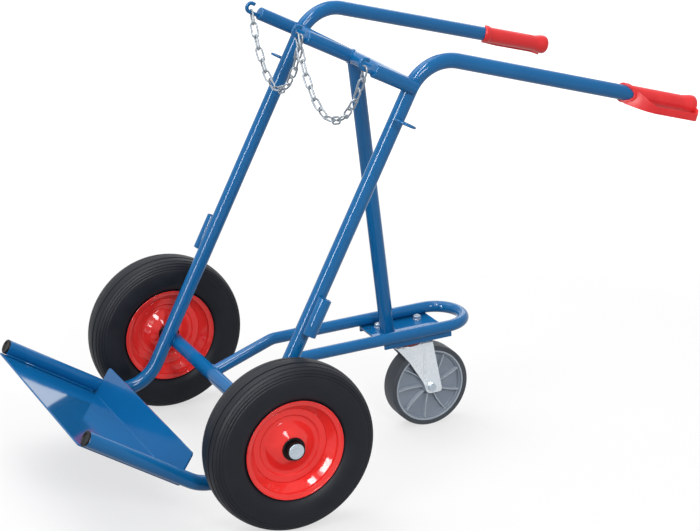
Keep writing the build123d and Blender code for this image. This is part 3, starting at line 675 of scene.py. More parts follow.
class Finishes(Enum):
    """The trolley's finishes. Where two share a slot, the later one is the slot's usual finish."""

    BLUE = Finish(
        "blue_powder_coat", "blue_paint", tone=(0.004, 0.108, 0.295), second_tone=(0.006, 0.122, 0.325),
        mottle_scale=6.0, roughness=(0.05, 0.09), relief_scale=260.0, relief_depth=0.00003,
        coat=0.12, coat_roughness=0.04, specular=0.16)
    RED_PAINT = Finish(
        "red_rim_paint", "red_paint", tone=(0.82, 0.030, 0.027), second_tone=(0.87, 0.038, 0.033),
        mottle_scale=9.0, roughness=(0.07, 0.11), relief_scale=300.0, relief_depth=0.00003,
        coat=0.20, coat_roughness=0.04, specular=0.22)
    RED_GRIP = Finish(
        "red_grip_plastic", "red_plastic", tone=(0.66, 0.018, 0.022), second_tone=(0.72, 0.026, 0.030),
        mottle_scale=25.0, roughness=(0.36, 0.46), relief_scale=1400.0, relief_depth=0.00008, specular=0.35)
    CHAIN = Finish(
        "chain_zinc", "zinc", tone=(0.25, 0.285, 0.325), second_tone=(0.33, 0.37, 0.41),
        mottle_scale=60.0, roughness=(0.24, 0.34), relief_scale=500.0, relief_depth=0.00003,
        metallic=0.12, specular=0.35)
    FORK = Finish(
        "fork_zinc", "zinc", tone=(0.68, 0.735, 0.785), second_tone=(0.735, 0.785, 0.825),
        mottle_scale=40.0, roughness=(0.24, 0.32), relief_scale=420.0, relief_depth=0.00002, metallic=0.6)
    ZINC = Finish(
        "bright_zinc", "zinc", tone=(0.44, 0.51, 0.575), second_tone=(0.50, 0.565, 0.625),
        mottle_scale=40.0, roughness=(0.24, 0.32), relief_scale=420.0, relief_depth=0.00002, metallic=0.6)
    TYRE = Finish(
        "tyre_rubber", "tyre", tone=(0.004, 0.006, 0.010), second_tone=(0.008, 0.010, 0.016),
        mottle_scale=18.0, roughness=(0.46, 0.60), relief_scale=900.0, relief_depth=0.00010, specular=0.20)
    BLACK = Finish(
        "black_plastic", "black_plastic", tone=(0.003, 0.003, 0.004), second_tone=(0.006, 0.006, 0.007),
        mottle_scale=30.0, roughness=(0.28, 0.38), relief_scale=1200.0, relief_depth=0.00005, specular=0.14)
    # Lighter copy of the castor rim's grey plastic for the rib tops and lips: a painted highlight where
    # their raised edges catch the light, not a different plastic.
    GREY_PAINTED_HIGHLIGHT = Finish(
        "grey_plastic_painted_highlight", "grey_plastic", tone=(0.38, 0.43, 0.49), second_tone=(0.42, 0.47, 0.53),
        mottle_scale=30.0, roughness=(0.30, 0.40), relief_scale=1000.0, relief_depth=0.00005, specular=0.3)
    GREY = Finish(
        "grey_rim_plastic", "grey_plastic", tone=(0.23, 0.27, 0.33), second_tone=(0.265, 0.31, 0.37),
        mottle_scale=20.0, roughness=(0.34, 0.44), relief_scale=1000.0, relief_depth=0.00006, specular=0.3)
    GREY_RUBBER = Finish(
        "grey_tread_rubber", "grey_rubber", tone=(0.054, 0.063, 0.076), second_tone=(0.068, 0.078, 0.092),
        mottle_scale=25.0, roughness=(0.48, 0.60), relief_scale=1000.0, relief_depth=0.00010, specular=0.25)
    SEAL = Finish(
        "rust_red_seal", "seal_plastic", tone=(0.28, 0.035, 0.030), second_tone=(0.33, 0.045, 0.038),
        mottle_scale=30.0, roughness=(0.40, 0.50), relief_scale=900.0, relief_depth=0.00006, specular=0.3)


class Workshop:
    """Makes meshes out of shapes, gives them their finish and body, and keeps count."""

    def __init__(self) -> None:
        """Build every finish's material once."""
        groups = SurfaceGroups()
        self.materials = {finish: finish.value.material(groups) for finish in Finishes}
        self.made = 0

    def piece(self, name: str, shape: Shape, finish: Finishes, body: Body, stands_for: Sequence[str] = (),
              sharp: float = 35.0) -> bpy.types.Object:
        """Put one piece into the scene.

        Args:
            name: object name.
            shape: points in millimetres, and faces.
            finish: its finish.
            body: body that it rides on.
            stands_for: CAD nodes that it replaces.
            sharp: edges that turn more than this many degrees stay sharp.

        Returns:
            The new object.
        """
        mesh = bpy.data.meshes.new(name)
        mesh.from_pydata(to_packed(shape.points).tolist(), [], shape.faces)
        work = bmesh.new()
        work.from_mesh(mesh)
        bmesh.ops.remove_doubles(work, verts=work.verts, dist=MERGE_DISTANCE)
        bmesh.ops.recalc_face_normals(work, faces=work.faces)
        work.to_mesh(mesh)
        work.free()
        mesh.shade_smooth()
        mesh.set_sharp_from_angle(angle=radians(sharp))
        mesh.materials.append(self.materials[finish])
        made = bpy.data.objects.new(name, mesh)
        bpy.context.scene.collection.objects.link(made)
        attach(made, body.value)
        if stands_for:
            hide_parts(*stands_for)
        self.made += 1
        log.info("%s: %d points on %s", name, len(mesh.vertices), body.value)
        return made

    def dress_cad(self) -> None:
        """Give every CAD node the usual finish of its slot in the record."""
        by_slot = {finish.value.slot: finish for finish in Finishes}
        for part in frame["record"]["subparts"]:
            mesh = frame["nodes"][part["node"]].data
            mesh.materials.clear()
            mesh.materials.append(self.materials[by_slot[part["material_slot"]]])


@dataclass
class TubeFrame:
    """Side tubes, crossbar, strut, axle tube and support loop."""

    bend: float = 100.0
    loop_od: float = 28.0
    loop_width: float = 140.0
    loop_leg: float = 167.5
    loop_leg_rise: float = 21.2
    loop_run: float = 468.4
    loop_run_rise: float = 2.1
    loop_bend: float = 60.0
    loop_end: float = 69.0
    swivel_setback: float = 320.0
    strut_offset: float = 4.0
    strut_lead: float = 48.0

    @property
    def run_dir(self) -> Array:
        """Direction of the loop's long runs, rearwards."""
        return np.array([0, cos(radians(self.loop_run_rise)), sin(radians(self.loop_run_rise))])

    @property
    def plate_up(self) -> Array:
        """Direction square to the castor plate, upwards."""
        return np.array([0, -sin(radians(self.loop_run_rise)), cos(radians(self.loop_run_rise))])

    @property
    def loop_corner(self) -> Array:
        """Middle of the two bends where the loop's legs turn level."""
        leg = np.array([0, cos(radians(self.loop_leg_rise)), sin(radians(self.loop_leg_rise))])
        return PLAN.axle + leg * self.loop_leg

    @property
    def plate_top(self) -> Array:
        """Point on the castor plate's top, on the swivel axis."""
        drop = self.loop_od / 2 + PLAN.weld_gap
        return self.loop_corner + self.run_dir * self.swivel_setback - self.plate_up * drop

    @property
    def strut_top(self) -> Array:
        """Upper end of the middle strut's centre line."""
        return PLAN.arm_root(0.0) - PLAN.front_dir * self.strut_offset

    @property
    def strut_foot(self) -> Array:
        """Lower end of the middle strut's centre line."""
        return self.plate_top - self.run_dir * self.strut_lead

    def build(self, shop: Workshop) -> None:
        """Make the tubes.

        Args:
            shop: maker of the pieces.
        """
        for side in Side:
            bent = tube(PLAN.side_tube(side), [self.bend, self.bend], PLAN.tube_od, ACROSS, count=56)
            shop.piece(f"bent_side_tube_{side.word}", bent, Finishes.BLUE, Body.FRAME,
                       [f"side_tube_{side.word}"])
        bar_ends = [PLAN.arm_root(-PLAN.half_frame), PLAN.arm_root(PLAN.half_frame)]
        reach = PLAN.half_frame + PLAN.tube_od / 2
        axle_ends = [PLAN.axle - ACROSS * reach, PLAN.axle + ACROSS * reach]
        half = ACROSS * self.loop_width / 2
        corner = self.loop_corner
        rear = corner + self.run_dir * self.loop_run
        loop = [PLAN.axle + half, corner + half, rear + half, rear - half, corner - half, PLAN.axle - half]
        loop_bends = [self.loop_bend, self.loop_end, self.loop_end, self.loop_bend]
        strut = [self.strut_top, self.strut_foot]
        made = [
            ("cross_tube", "crossbar", tube(bar_ends, [], PLAN.arm_od, UP)),
            ("axle_cross_tube", "axle_tube", tube(axle_ends, [], PLAN.tube_od, UP)),
            ("rear_loop_tube", "support_loop", tube(loop, loop_bends, self.loop_od, UP, count=40)),
            ("middle_strut", "centre_strut", tube(strut, [], PLAN.tube_od, ACROSS)),
        ]
        for name, node, shape in made:
            shop.piece(name, shape, Finishes.BLUE, Body.FRAME, [node])


@dataclass
class Arms:
    """Forward arms with their end caps and chain hooks."""

    cap: float = 8.0
    cap_round: float = 6.5
    sides: int = 48
    hook_wire: float = 8.0
    hook_height: float = 9.4
    hook_drop: float = 6.0
    hook_bend: float = 11.0
    hook_reach: float = 24.0
    hook_return: float = 7.0
    hook_bend_steps: int = 14
    hook_sides: int = 24
    nose_length: float = 0.5
    nose_steps: int = 6
    nose_tip: float = 0.05

    def places(self) -> dict[str, Pair]:
        """Distance across and length of each arm.

        Returns:
            Both lengths, by the arm's name.
        """
        outer = PLAN.half_frame + PLAN.tube_od / 2
        return {
            "left": (outer, PLAN.side_arm_length),
            "centre": (0.0, PLAN.centre_arm_length),
            "right": (-outer, PLAN.side_arm_length),
        }

    def tip(self, name: str) -> Array:
        """Middle of an arm's end face."""
        x, length = self.places()[name]
        return PLAN.arm_root(x) + PLAN.front_dir * length

    def build(self, shop: Workshop) -> None:
        """Make the arms, the caps and the hooks.

        Args:
            shop: maker of the pieces.
        """
        half = PLAN.arm_od / 2
        face = rounded([(-self.cap, 0, 0), (-self.cap, half, 0), (0, half, self.cap_round), (0, 0, 0)],
                       closed=False)
        caps = []
        for name, (x, length) in self.places().items():
            end = length - self.cap
            bar = np.array([(0, 0), (0, half), (end, half), (end, 0)])
            arm = lathe(bar, PLAN.arm_root(x), PLAN.front_dir, self.sides, closed=False)
            shop.piece(f"forward_arm_{name}", arm, Finishes.BLUE, Body.FRAME, [f"arm_{name}"])
            caps.append(lathe(face, self.tip(name), PLAN.front_dir, self.sides, closed=False))
            hook = self._hook(name)
            shop.piece(f"bent_hook_{name}", hook, Finishes.BLUE, Body.FRAME, [f"chain_hook_{name}"])
        shop.piece("arm_end_caps", together(caps), Finishes.BLUE, Body.FRAME, ["arm_caps"])

    def _hook(self, name: str) -> Shape:
        """Oval bar forward from low on the arm's end, then up and back round a half circle to a blunt nose.

        Its section at angle t has the radius 1 / hypot(cos t / half width, sin t / half height). Along the
        nose the section shrinks by cos u as the place moves on by sin u.

        Args:
            name: the arm's name.

        Returns:
            A closed skin.
        """
        bend = self.hook_bend - (self.hook_height - self.hook_wire) / 4
        low, high = -self.hook_drop, 2 * bend - self.hook_drop
        front = self.hook_reach + self.hook_bend
        corners = [(0, low), (front, low), (front, high), (self.hook_reach - self.hook_return, high)]
        points = [self.tip(name) + PLAN.front_dir * a + PLAN.up_dir * n for a, n in corners]
        places, tangents = route(points, [bend, bend], self.hook_bend_steps)
        half = self.hook_wire / 2
        nose = half * self.nose_length
        turn = np.linspace(0, pi / 2, self.nose_steps + 1)[1:]
        places = np.vstack([places, places[-1] + tangents[-1] * (nose * np.sin(turn))[:, None]])
        places[-len(turn) - 1:] -= tangents[-1] * nose
        tangents = np.vstack([tangents, np.repeat(tangents[-1:], len(turn), axis=0)])
        share = np.ones(len(places))
        share[-len(turn):] = np.maximum(np.cos(turn), self.nose_tip)
        around = full_turn(self.hook_sides)
        oval = 1 / np.hypot(np.cos(around) / half, np.sin(around) * 2 / self.hook_height)
        return capped(rings_along(places, tangents, share[:, None] * oval[None, :], ACROSS, self.hook_sides))


@dataclass
class Chains:
    """Two chains of welded links that hang between the hooks."""

    links: int = 15
    wire: float = 4.5
    inner_length: float = 32.0
    inner_width: float = 10.5
    play: float = 0.4
    hook_play: float = 0.8
    side_seat: float = 18.0
    left_seat: float = 20.5
    right_seat: float = 9.5
    weld_swell: float = 0.35
    weld_half: float = 3.0
    end_points: int = 15
    side_points: int = 11
    wire_points: int = 14
    steepest_step: float = 10.0
    halvings: int = 60

    def slopes(self, span: float, pitch: float, seat: float) -> list[float]:
        """Angles of the links below the span, whose tangents fall evenly from end to end.

        The even step is found by halving a range until the links' reach is the span.

        Args:
            span: distance between the two hook seats.
            pitch: length that one link adds.
            seat: distance from a seat to the chain's end.

        Returns:
            One angle for each link.
        """
        low, high = 0.0, self.steepest_step
        middle = (self.links - 1) / 2
        for _ in range(self.halvings):
            step = (low + high) / 2
            angles = [atan(step * (middle - index)) for index in range(self.links)]
            reach = sum(pitch * cos(angle) for angle in angles) - 2 * seat * cos(angles[0])
            low, high = (step, high) if reach > span else (low, step)
        return angles

    def link(self) -> Shape:
        """One link, long along X and flat in XY: a round wire round a stadium, thicker at its weld.

        The weld adds swell x exp(-(x / half length)^2) to the wire's radius on one side.

        Returns:
            A closed skin.
        """
        bend = (self.inner_width + self.wire) / 2
        straight = (self.inner_length + self.wire) / 2 - bend
        turn = np.linspace(0, pi, self.end_points)
        right = np.stack([straight + bend * np.sin(turn), bend * np.cos(turn), 0 * turn], axis=1)
        run = np.linspace(-straight, straight, self.side_points)[1:-1]
        lower = np.stack([-run, np.full_like(run, -bend), 0 * run], axis=1)
        upper = np.stack([run, np.full_like(run, bend), 0 * run], axis=1)
        left = right * np.array([-1, -1, 1])
        places = np.vstack([upper, right, lower, left])
        swell = np.zeros(len(places))
        swell[:len(run)] = self.weld_swell * np.exp(-((run / self.weld_half) ** 2))
        rings = rings_along(places, ring_headings(places), self.wire / 2 + swell, UP, self.wire_points)
        return sheet_of(rings, wrap_rows=True, wrap_columns=True)

    def build(self, shop: Workshop, arms: Arms) -> None:
        """Hang both chains on the hooks, each link turned a quarter against the one before.

        Args:
            shop: maker of the pieces.
            arms: arms with the hooks.
        """
        base = self.link()
        pitch = self.inner_length - 2 * self.play
        seat = arms.hook_wire / 2 + self.hook_play
        drop = PLAN.up_dir * arms.hook_drop
        for side, middle_seat in ((Side.LEFT, self.left_seat), (Side.RIGHT, self.right_seat)):
            start = arms.tip("centre") + PLAN.front_dir * middle_seat - drop
            end = arms.tip(side.word) + PLAN.front_dir * self.side_seat - drop
            along = unit(end - start)
            flat = unit(np.cross(along, UP))
            down = np.cross(flat, along)
            down = down if down[2] < 0 else -down
            angles = self.slopes(float(np.linalg.norm(end - start)), pitch, seat)
            ways = [along * cos(angle) + down * sin(angle) for angle in angles]
            joint = start - ways[0] * seat
            hung = []
            for index, way in enumerate(ways):
                normal = flat if index % 2 == 0 else np.cross(way, flat)
                turned = np.stack([way, np.cross(normal, way), normal])
                hung.append(Shape(base.points @ turned + joint + way * pitch / 2, base.faces))
                joint = joint + way * pitch
            shop.piece(f"hung_chain_{side.word}", together(hung), Finishes.CHAIN, side.chain,
                       [f"chain_{side.word}"])


@dataclass
class ToePlate:
    """Folded sheet under the toe tubes, and the plugs in their ends."""

    half_width: float = 288.0
    front: float = 390.0
    fold: float = 122.0
    thickness: float = 4.0
    back_height: float = 73.0
    fold_radius: float = 6.0
    corner: float = 9.0
    bend_steps: int = 8
    first_row: float = 60.0
    climb_start: float = 0.5
    columns: int = 25
    edge_width: float = 0.8
    edge_segments: int = 2
    edge_turn: float = 50.0
    plug_head: float = 4.5
    plug_dish: float = 2.2
    plug_depth: float = 16.0
    plug_d: float = 29.8
    plug_rim: float = 4.5
    dish_start: float = 6.0

    def build(self, shop: Workshop) -> None:
        """Make the sheet with its rolled edge, and the plugs.

        Args:
            shop: maker of the pieces.
        """
        sheet = shop.piece("folded_toe_sheet", self._sheet(), Finishes.BLUE, Body.FRAME, ["toe_plate"],
                           sharp=30)
        edge = sheet.modifiers.new("rolled_edge", "BEVEL")
        edge.width = self.edge_width * MM
        edge.segments = self.edge_segments
        edge.limit_method = "ANGLE"
        edge.angle_limit = radians(self.edge_turn)
        shop.piece("tube_end_plugs", self._plugs(), Finishes.BLACK, Body.FRAME, ["toe_plugs"])

    def _sheet(self) -> Shape:
        """Sheet of even thickness carried along the fold line from the front edge to the top of the back.

        Each row runs across on one face and back on the other. At the back's upper corners half the width is
        inner - corner x (1 - cos t) where the height is back height - corner x (1 - sin t).

        Returns:
            A closed skin.
        """
        reach = PLAN.tube_od / 2 + PLAN.weld_gap
        origin = PLAN.on_upright(-PLAN.toe_corner_drop) - PLAN.toe_up * reach
        middle = -self.thickness / 2
        back = self.fold + self.thickness / 2
        corners = [np.array([self.front, middle, 0.0]), np.array([back, middle, 0.0]),
                   np.array([back, self.back_height, 0.0])]
        places, tangents = route(corners, [self.fold_radius - self.thickness / 2], self.bend_steps)
        rows = [places[0], places[0] - [self.first_row, 0, 0], *places[1:-1]]
        way = [tangents[0], tangents[0], *tangents[1:-1]]
        climb = np.linspace(places[-2][1] + self.climb_start, self.back_height - self.corner, 3)
        turn = np.linspace(0, pi / 2, self.bend_steps)[1:]
        rise = np.concatenate([climb, self.back_height - self.corner * (1 - np.sin(turn))])
        rows += [np.array([back, height, 0.0]) for height in rise]
        way += [tangents[-1]] * len(rise)
        line, heading = np.array(rows), np.array(way)
        inner = PLAN.half_frame - PLAN.tube_od / 2 - PLAN.weld_gap
        half = np.full(len(line), self.half_width)
        half[-len(rise):] = inner
        half[-len(turn):] = inner - self.corner * (1 - np.cos(turn))
        normal = np.stack([-heading[:, 1], heading[:, 0]], axis=1) * self.thickness / 2
        across = np.linspace(-1, 1, self.columns)
        across = np.concatenate([across, -across])
        face = np.repeat([1.0, -1.0], self.columns)
        section = line[:, None, :2] + face[None, :, None] * normal[:, None]
        points = (origin + section[:, :, :1] * PLAN.toe_dir + section[:, :, 1:] * PLAN.toe_up
                  + (half[:, None] * across[None, :])[:, :, None] * ACROSS)
        return capped(points)

    def _plugs(self) -> Shape:
        """Turned plugs with a dished head in the open ends of the toe tubes.

        Returns:
            Both plugs as one shape.
        """
        tube_r, plug_r, floor = PLAN.tube_od / 2, self.plug_d / 2, self.plug_head - self.plug_dish
        profile = rounded(
            [(-self.plug_depth, 0, 0), (-self.plug_depth, plug_r, 1.5), (0, plug_r, 0), (0, tube_r, 0.8),
             (self.plug_head, tube_r, 2.0), (self.plug_head, tube_r - self.plug_rim, 0.8),
             (floor, tube_r - self.dish_start, 1.0), (floor, 0, 0)], closed=False)
        return together([lathe(profile, PLAN.side_tube(side)[0], PLAN.toe_dir, count=48, closed=False)
                         for side in Side])


@dataclass
class RodFittings:
    """Sleeve and ring on the outer side of each upright."""

    sleeve_od: float = 30.0
    sleeve_bore: float = 25.0
    sleeve_length: float = 88.0
    sleeve_rise: float = 275.0
    sleeve_edge: float = 0.7
    ring_od: float = 50.0
    ring_wire: float = 6.0
    ring_rise: float = 737.0
    wire_points: int = 20

    def build(self, shop: Workshop) -> None:
        """Make the sleeves and the rings.

        Args:
            shop: maker of the pieces.
        """
        beside = PLAN.half_frame + PLAN.tube_od / 2 + PLAN.weld_gap
        end, edge = self.sleeve_length / 2, self.sleeve_edge
        bore_r, sleeve_r, wire_r = self.sleeve_bore / 2, self.sleeve_od / 2, self.ring_wire / 2
        wall = rounded([(-end, bore_r, edge), (end, bore_r, edge), (end, sleeve_r, edge),
                        (-end, sleeve_r, edge)], steps=3)
        turn = full_turn(self.wire_points)
        ring_r = (self.ring_od - self.ring_wire) / 2
        wire = np.stack([wire_r * np.cos(turn), ring_r + wire_r * np.sin(turn)], axis=1)
        for side in Side:
            place = PLAN.on_upright(self.sleeve_rise, side.sign * (beside + sleeve_r))
            sleeve = lathe(wall, place, PLAN.up_dir, count=56)
            shop.piece(f"open_sleeve_{side.word}", sleeve, Finishes.BLUE, Body.FRAME,
                       [f"rod_sleeve_{side.word}"])
            place = PLAN.on_upright(self.ring_rise, side.sign * (beside + self.ring_od / 2))
            ring = lathe(wire, place, PLAN.up_dir, count=48)
            shop.piece(f"round_ring_{side.word}", ring, Finishes.BLUE, Body.FRAME, [f"rod_ring_{side.word}"])


@dataclass
class Wheels:
    """Big wheels: ribbed tyre, pressed rim, discs, hub bushes, washers and caps.

    The grooves are given by place along the outline, half width and depth. Points of the barrel and the disc
    are distance along the axle, radius, and the rounding of the corner.
    """

    track: float = 760.0
    tyre_od: float = 390.0
    tyre_width: float = 98.0
    tyre_wall: float = 9.0
    tread_width: float = 60.0
    tread_drop: float = 5.0
    tread_steps: int = 70
    bead_steps: int = 24
    inside_steps: int = 6
    roof_steps: int = 8
    bead_face: float = 32.7
    bead_inside: float = 20.7
    bead_top: float = 115.3
    seat: float = 104.5
    grooves: tuple[Triple, ...] = (
        (14.5, 1.7, 4.2), (31.0, 1.4, 1.7), (41.5, 1.3, 1.5), (49.0, 1.2, 1.3), (55.5, 1.1, 1.1))
    groove_power: int = 8
    barrel_outside: tuple[Triple, ...] = (
        (40.0, 115.0, 1.2), (37.2, 115.0, 1.2), (33.0, 104.2, 1.5), (29.5, 104.2, 2.0), (8.0, 90.0, 4.0))
    barrel_inside: tuple[Triple, ...] = (
        (9.5, 87.0, 1.5), (28.0, 102.2, 1.0), (35.4, 103.4, 1.0), (38.2, 111.8, 1.2), (40.0, 112.6, 0.8))
    disc_face: tuple[Triple, ...] = (
        (2, 86.8, 0.5), (9, 86.8, 1.6), (9, 72, 3.0), (4.5, 68, 3.0), (4.5, 59, 9), (18, 44, 40),
        (27.2, 28.5, 6), (27.2, 20.2, 0.5))
    disc_back: tuple[Triple, ...] = (
        (24.7, 20.2, 0.5), (24.7, 27.7, 5), (15.4, 42.4, 30), (2, 57.7, 8), (2, 70.5, 2), (6.5, 74.5, 2),
        (6.5, 84.3, 1.5), (2, 84.3, 0.5))
    rim_sides: int = 128
    tyre_sides: int = 144
    axle_r: float = 10.05
    bush_start: float = 7.4
    bush_r: float = 13.95
    hub_half: float = 27.4
    hub_face: float = 30.4
    hub_flange_r: float = 26.5
    washer_in: float = 30.7
    washer_out: float = 33.6
    collar_out: float = 44.0
    collar_r: float = 21.0
    collar_bore_r: float = 18.2
    cap_in: float = 33.7
    cap_out: float = 44.7
    cap_r: float = 18.0
    cap_bore_end: float = 41.1
    dish_floor: float = 44.2
    dish_r: float = 9.0
    dish_floor_r: float = 8.0

    def tyre_section(self) -> Array:
        """Closed tyre section of (distance along the axle, radius).

        The crown is a shallow parabola and the walls are quadratic curves. Each groove lowers the outline
        along its normal by depth / (1 + ((s - place) / half width)^8), with s the distance along it.

        Returns:
            Points of the section.
        """
        top, half = self.tyre_od / 2, self.tread_width / 2
        wide, mid = self.tyre_width / 2, (self.tyre_od / 2 + self.seat) / 2
        shoulder, thick = top - self.tread_drop, self.tyre_wall
        w = np.linspace(0, half, self.tread_steps, endpoint=False)
        crown = np.stack([w, top - self.tread_drop * (w / half) ** 2], axis=1)
        wall_pull = (wide, shoulder - self.tread_drop)
        wall = curve((half, shoulder), wall_pull, (wide, mid), self.tread_steps)[:-1]
        bead = (self.bead_face, self.bead_top)
        lower = curve((wide, mid), (wide, self.bead_top + thick), bead, self.bead_steps)
        outer = np.vstack([crown, wall, lower])
        s = np.concatenate([[0], np.cumsum(np.linalg.norm(np.diff(outer, axis=0), axis=1))])
        ahead = headings(outer)
        inward = np.stack([ahead[:, 1], -ahead[:, 0]], axis=1)
        depth = sum(d / (1 + ((s - place) / width) ** self.groove_power) for place, width, d in self.grooves)
        outer = outer + inward * depth[:, None]
        inner_wide = wide - thick
        bead_corner, widest = (self.bead_inside, self.bead_top), (inner_wide, mid)
        inside = np.vstack([
            [(self.bead_face, self.seat), (self.bead_inside, self.seat), bead_corner],
            curve(bead_corner, (inner_wide, self.bead_top + thick), widest, self.inside_steps)[1:],
            curve(widest, (inner_wide, shoulder - 2 * thick), (0, top - thick), self.roof_steps)[1:],
        ])
        right = np.vstack([outer, inside])
        left = (right * np.array([-1, 1]))[::-1][1:-1]
        return np.vstack([right, left])

    def barrel_section(self) -> Array:
        """Rim barrel: thin rolled lip, sloped flange, small step and a straight cone down to the well.

        Returns:
            Closed section.
        """
        outside, inside = list(self.barrel_outside), list(self.barrel_inside)
        return rounded(outside + flipped(outside)[::-1] + flipped(inside)[::-1] + inside, steps=5)

    def disc_section(self, way: float) -> Array:
        """Pressed disc: flat outer ring, rounded groove and a domed cone up to the hub.

        Args:
            way: 1 for the outer disc, -1 for the inner one.

        Returns:
            Closed section.
        """
        return rounded(flipped(self.disc_face + self.disc_back, way), steps=7)

    def bush_section(self, way: float) -> Array:
        """Flanged bush in one end of the hub.

        Args:
            way: 1 for the outer end, -1 for the inner one.

        Returns:
            Closed section.
        """
        corners = [
            (self.bush_start, self.axle_r, 0), (self.bush_start, self.bush_r, 0),
            (self.hub_half, self.bush_r, 0), (self.hub_half, self.hub_flange_r, 0.8),
            (self.hub_face, self.hub_flange_r, 1.2), (self.hub_face, self.axle_r, 0.3)]
        return rounded(flipped(corners, way), steps=4)

    def washer_section(self) -> Array:
        """Washer beside the hub with a thin collar that stands out round the axle cap.

        Returns:
            Closed section.
        """
        return rounded([
            (self.washer_in, self.axle_r, 0), (self.washer_in, self.collar_r, 0.8),
            (self.collar_out, self.collar_r, 1.2), (self.collar_out, self.collar_bore_r, 0.6),
            (self.washer_out, self.collar_bore_r, 0), (self.washer_out, self.axle_r, 0)], steps=4)

    def cap_section(self) -> Array:
        """Cap over the axle's end, with a shallow dish in its face.

        Returns:
            Section that meets the axis.
        """
        return rounded([
            (self.cap_in, self.axle_r, 0), (self.cap_in, self.cap_r, 0.3), (self.cap_out, self.cap_r, 1.4),
            (self.cap_out, self.dish_r, 0.4), (self.dish_floor, self.dish_floor_r, 0.4),
            (self.dish_floor, 0, 0), (self.cap_bore_end, 0, 0), (self.cap_bore_end, self.axle_r, 0)])

    def build(self, shop: Workshop) -> None:
        """Make both wheels and what holds them on the axle.

        Args:
            shop: maker of the pieces.
        """
        washers, caps = [], []
        for side in Side:
            out, word, body = ACROSS * side.sign, side.word, side.wheel
            middle = PLAN.axle + out * self.track / 2
            tyre = lathe(self.tyre_section(), middle, out, self.tyre_sides)
            shop.piece(f"ribbed_tyre_{word}", tyre, Finishes.TYRE, body, [f"tyre_{word}"], sharp=50)
            barrel = lathe(self.barrel_section(), middle, out, self.rim_sides)
            shop.piece(f"rolled_rim_{word}", barrel, Finishes.RED_PAINT, body, [f"rim_barrel_{word}"])
            bushes = []
            for name, way in (("outer", 1.0), ("inner", -1.0)):
                disc = lathe(self.disc_section(way), middle, out, self.rim_sides)
                shop.piece(f"pressed_disc_{name}_{word}", disc, Finishes.RED_PAINT, body,
                           [f"disc_{name}_{word}"])
                bushes.append(lathe(self.bush_section(way), middle, out))
            shop.piece(f"flanged_bushes_{word}", together(bushes), Finishes.BLACK, body,
                       [f"hub_bushes_{word}"])
            washers.append(lathe(self.washer_section(), middle, out))
            caps.append(lathe(self.cap_section(), middle, out))
        shop.piece("axle_end_washers", together(washers), Finishes.BLACK, Body.FRAME, ["axle_washers"])
        shop.piece("axle_end_caps", together(caps), Finishes.ZINC, Body.FRAME, ["axle_caps"])


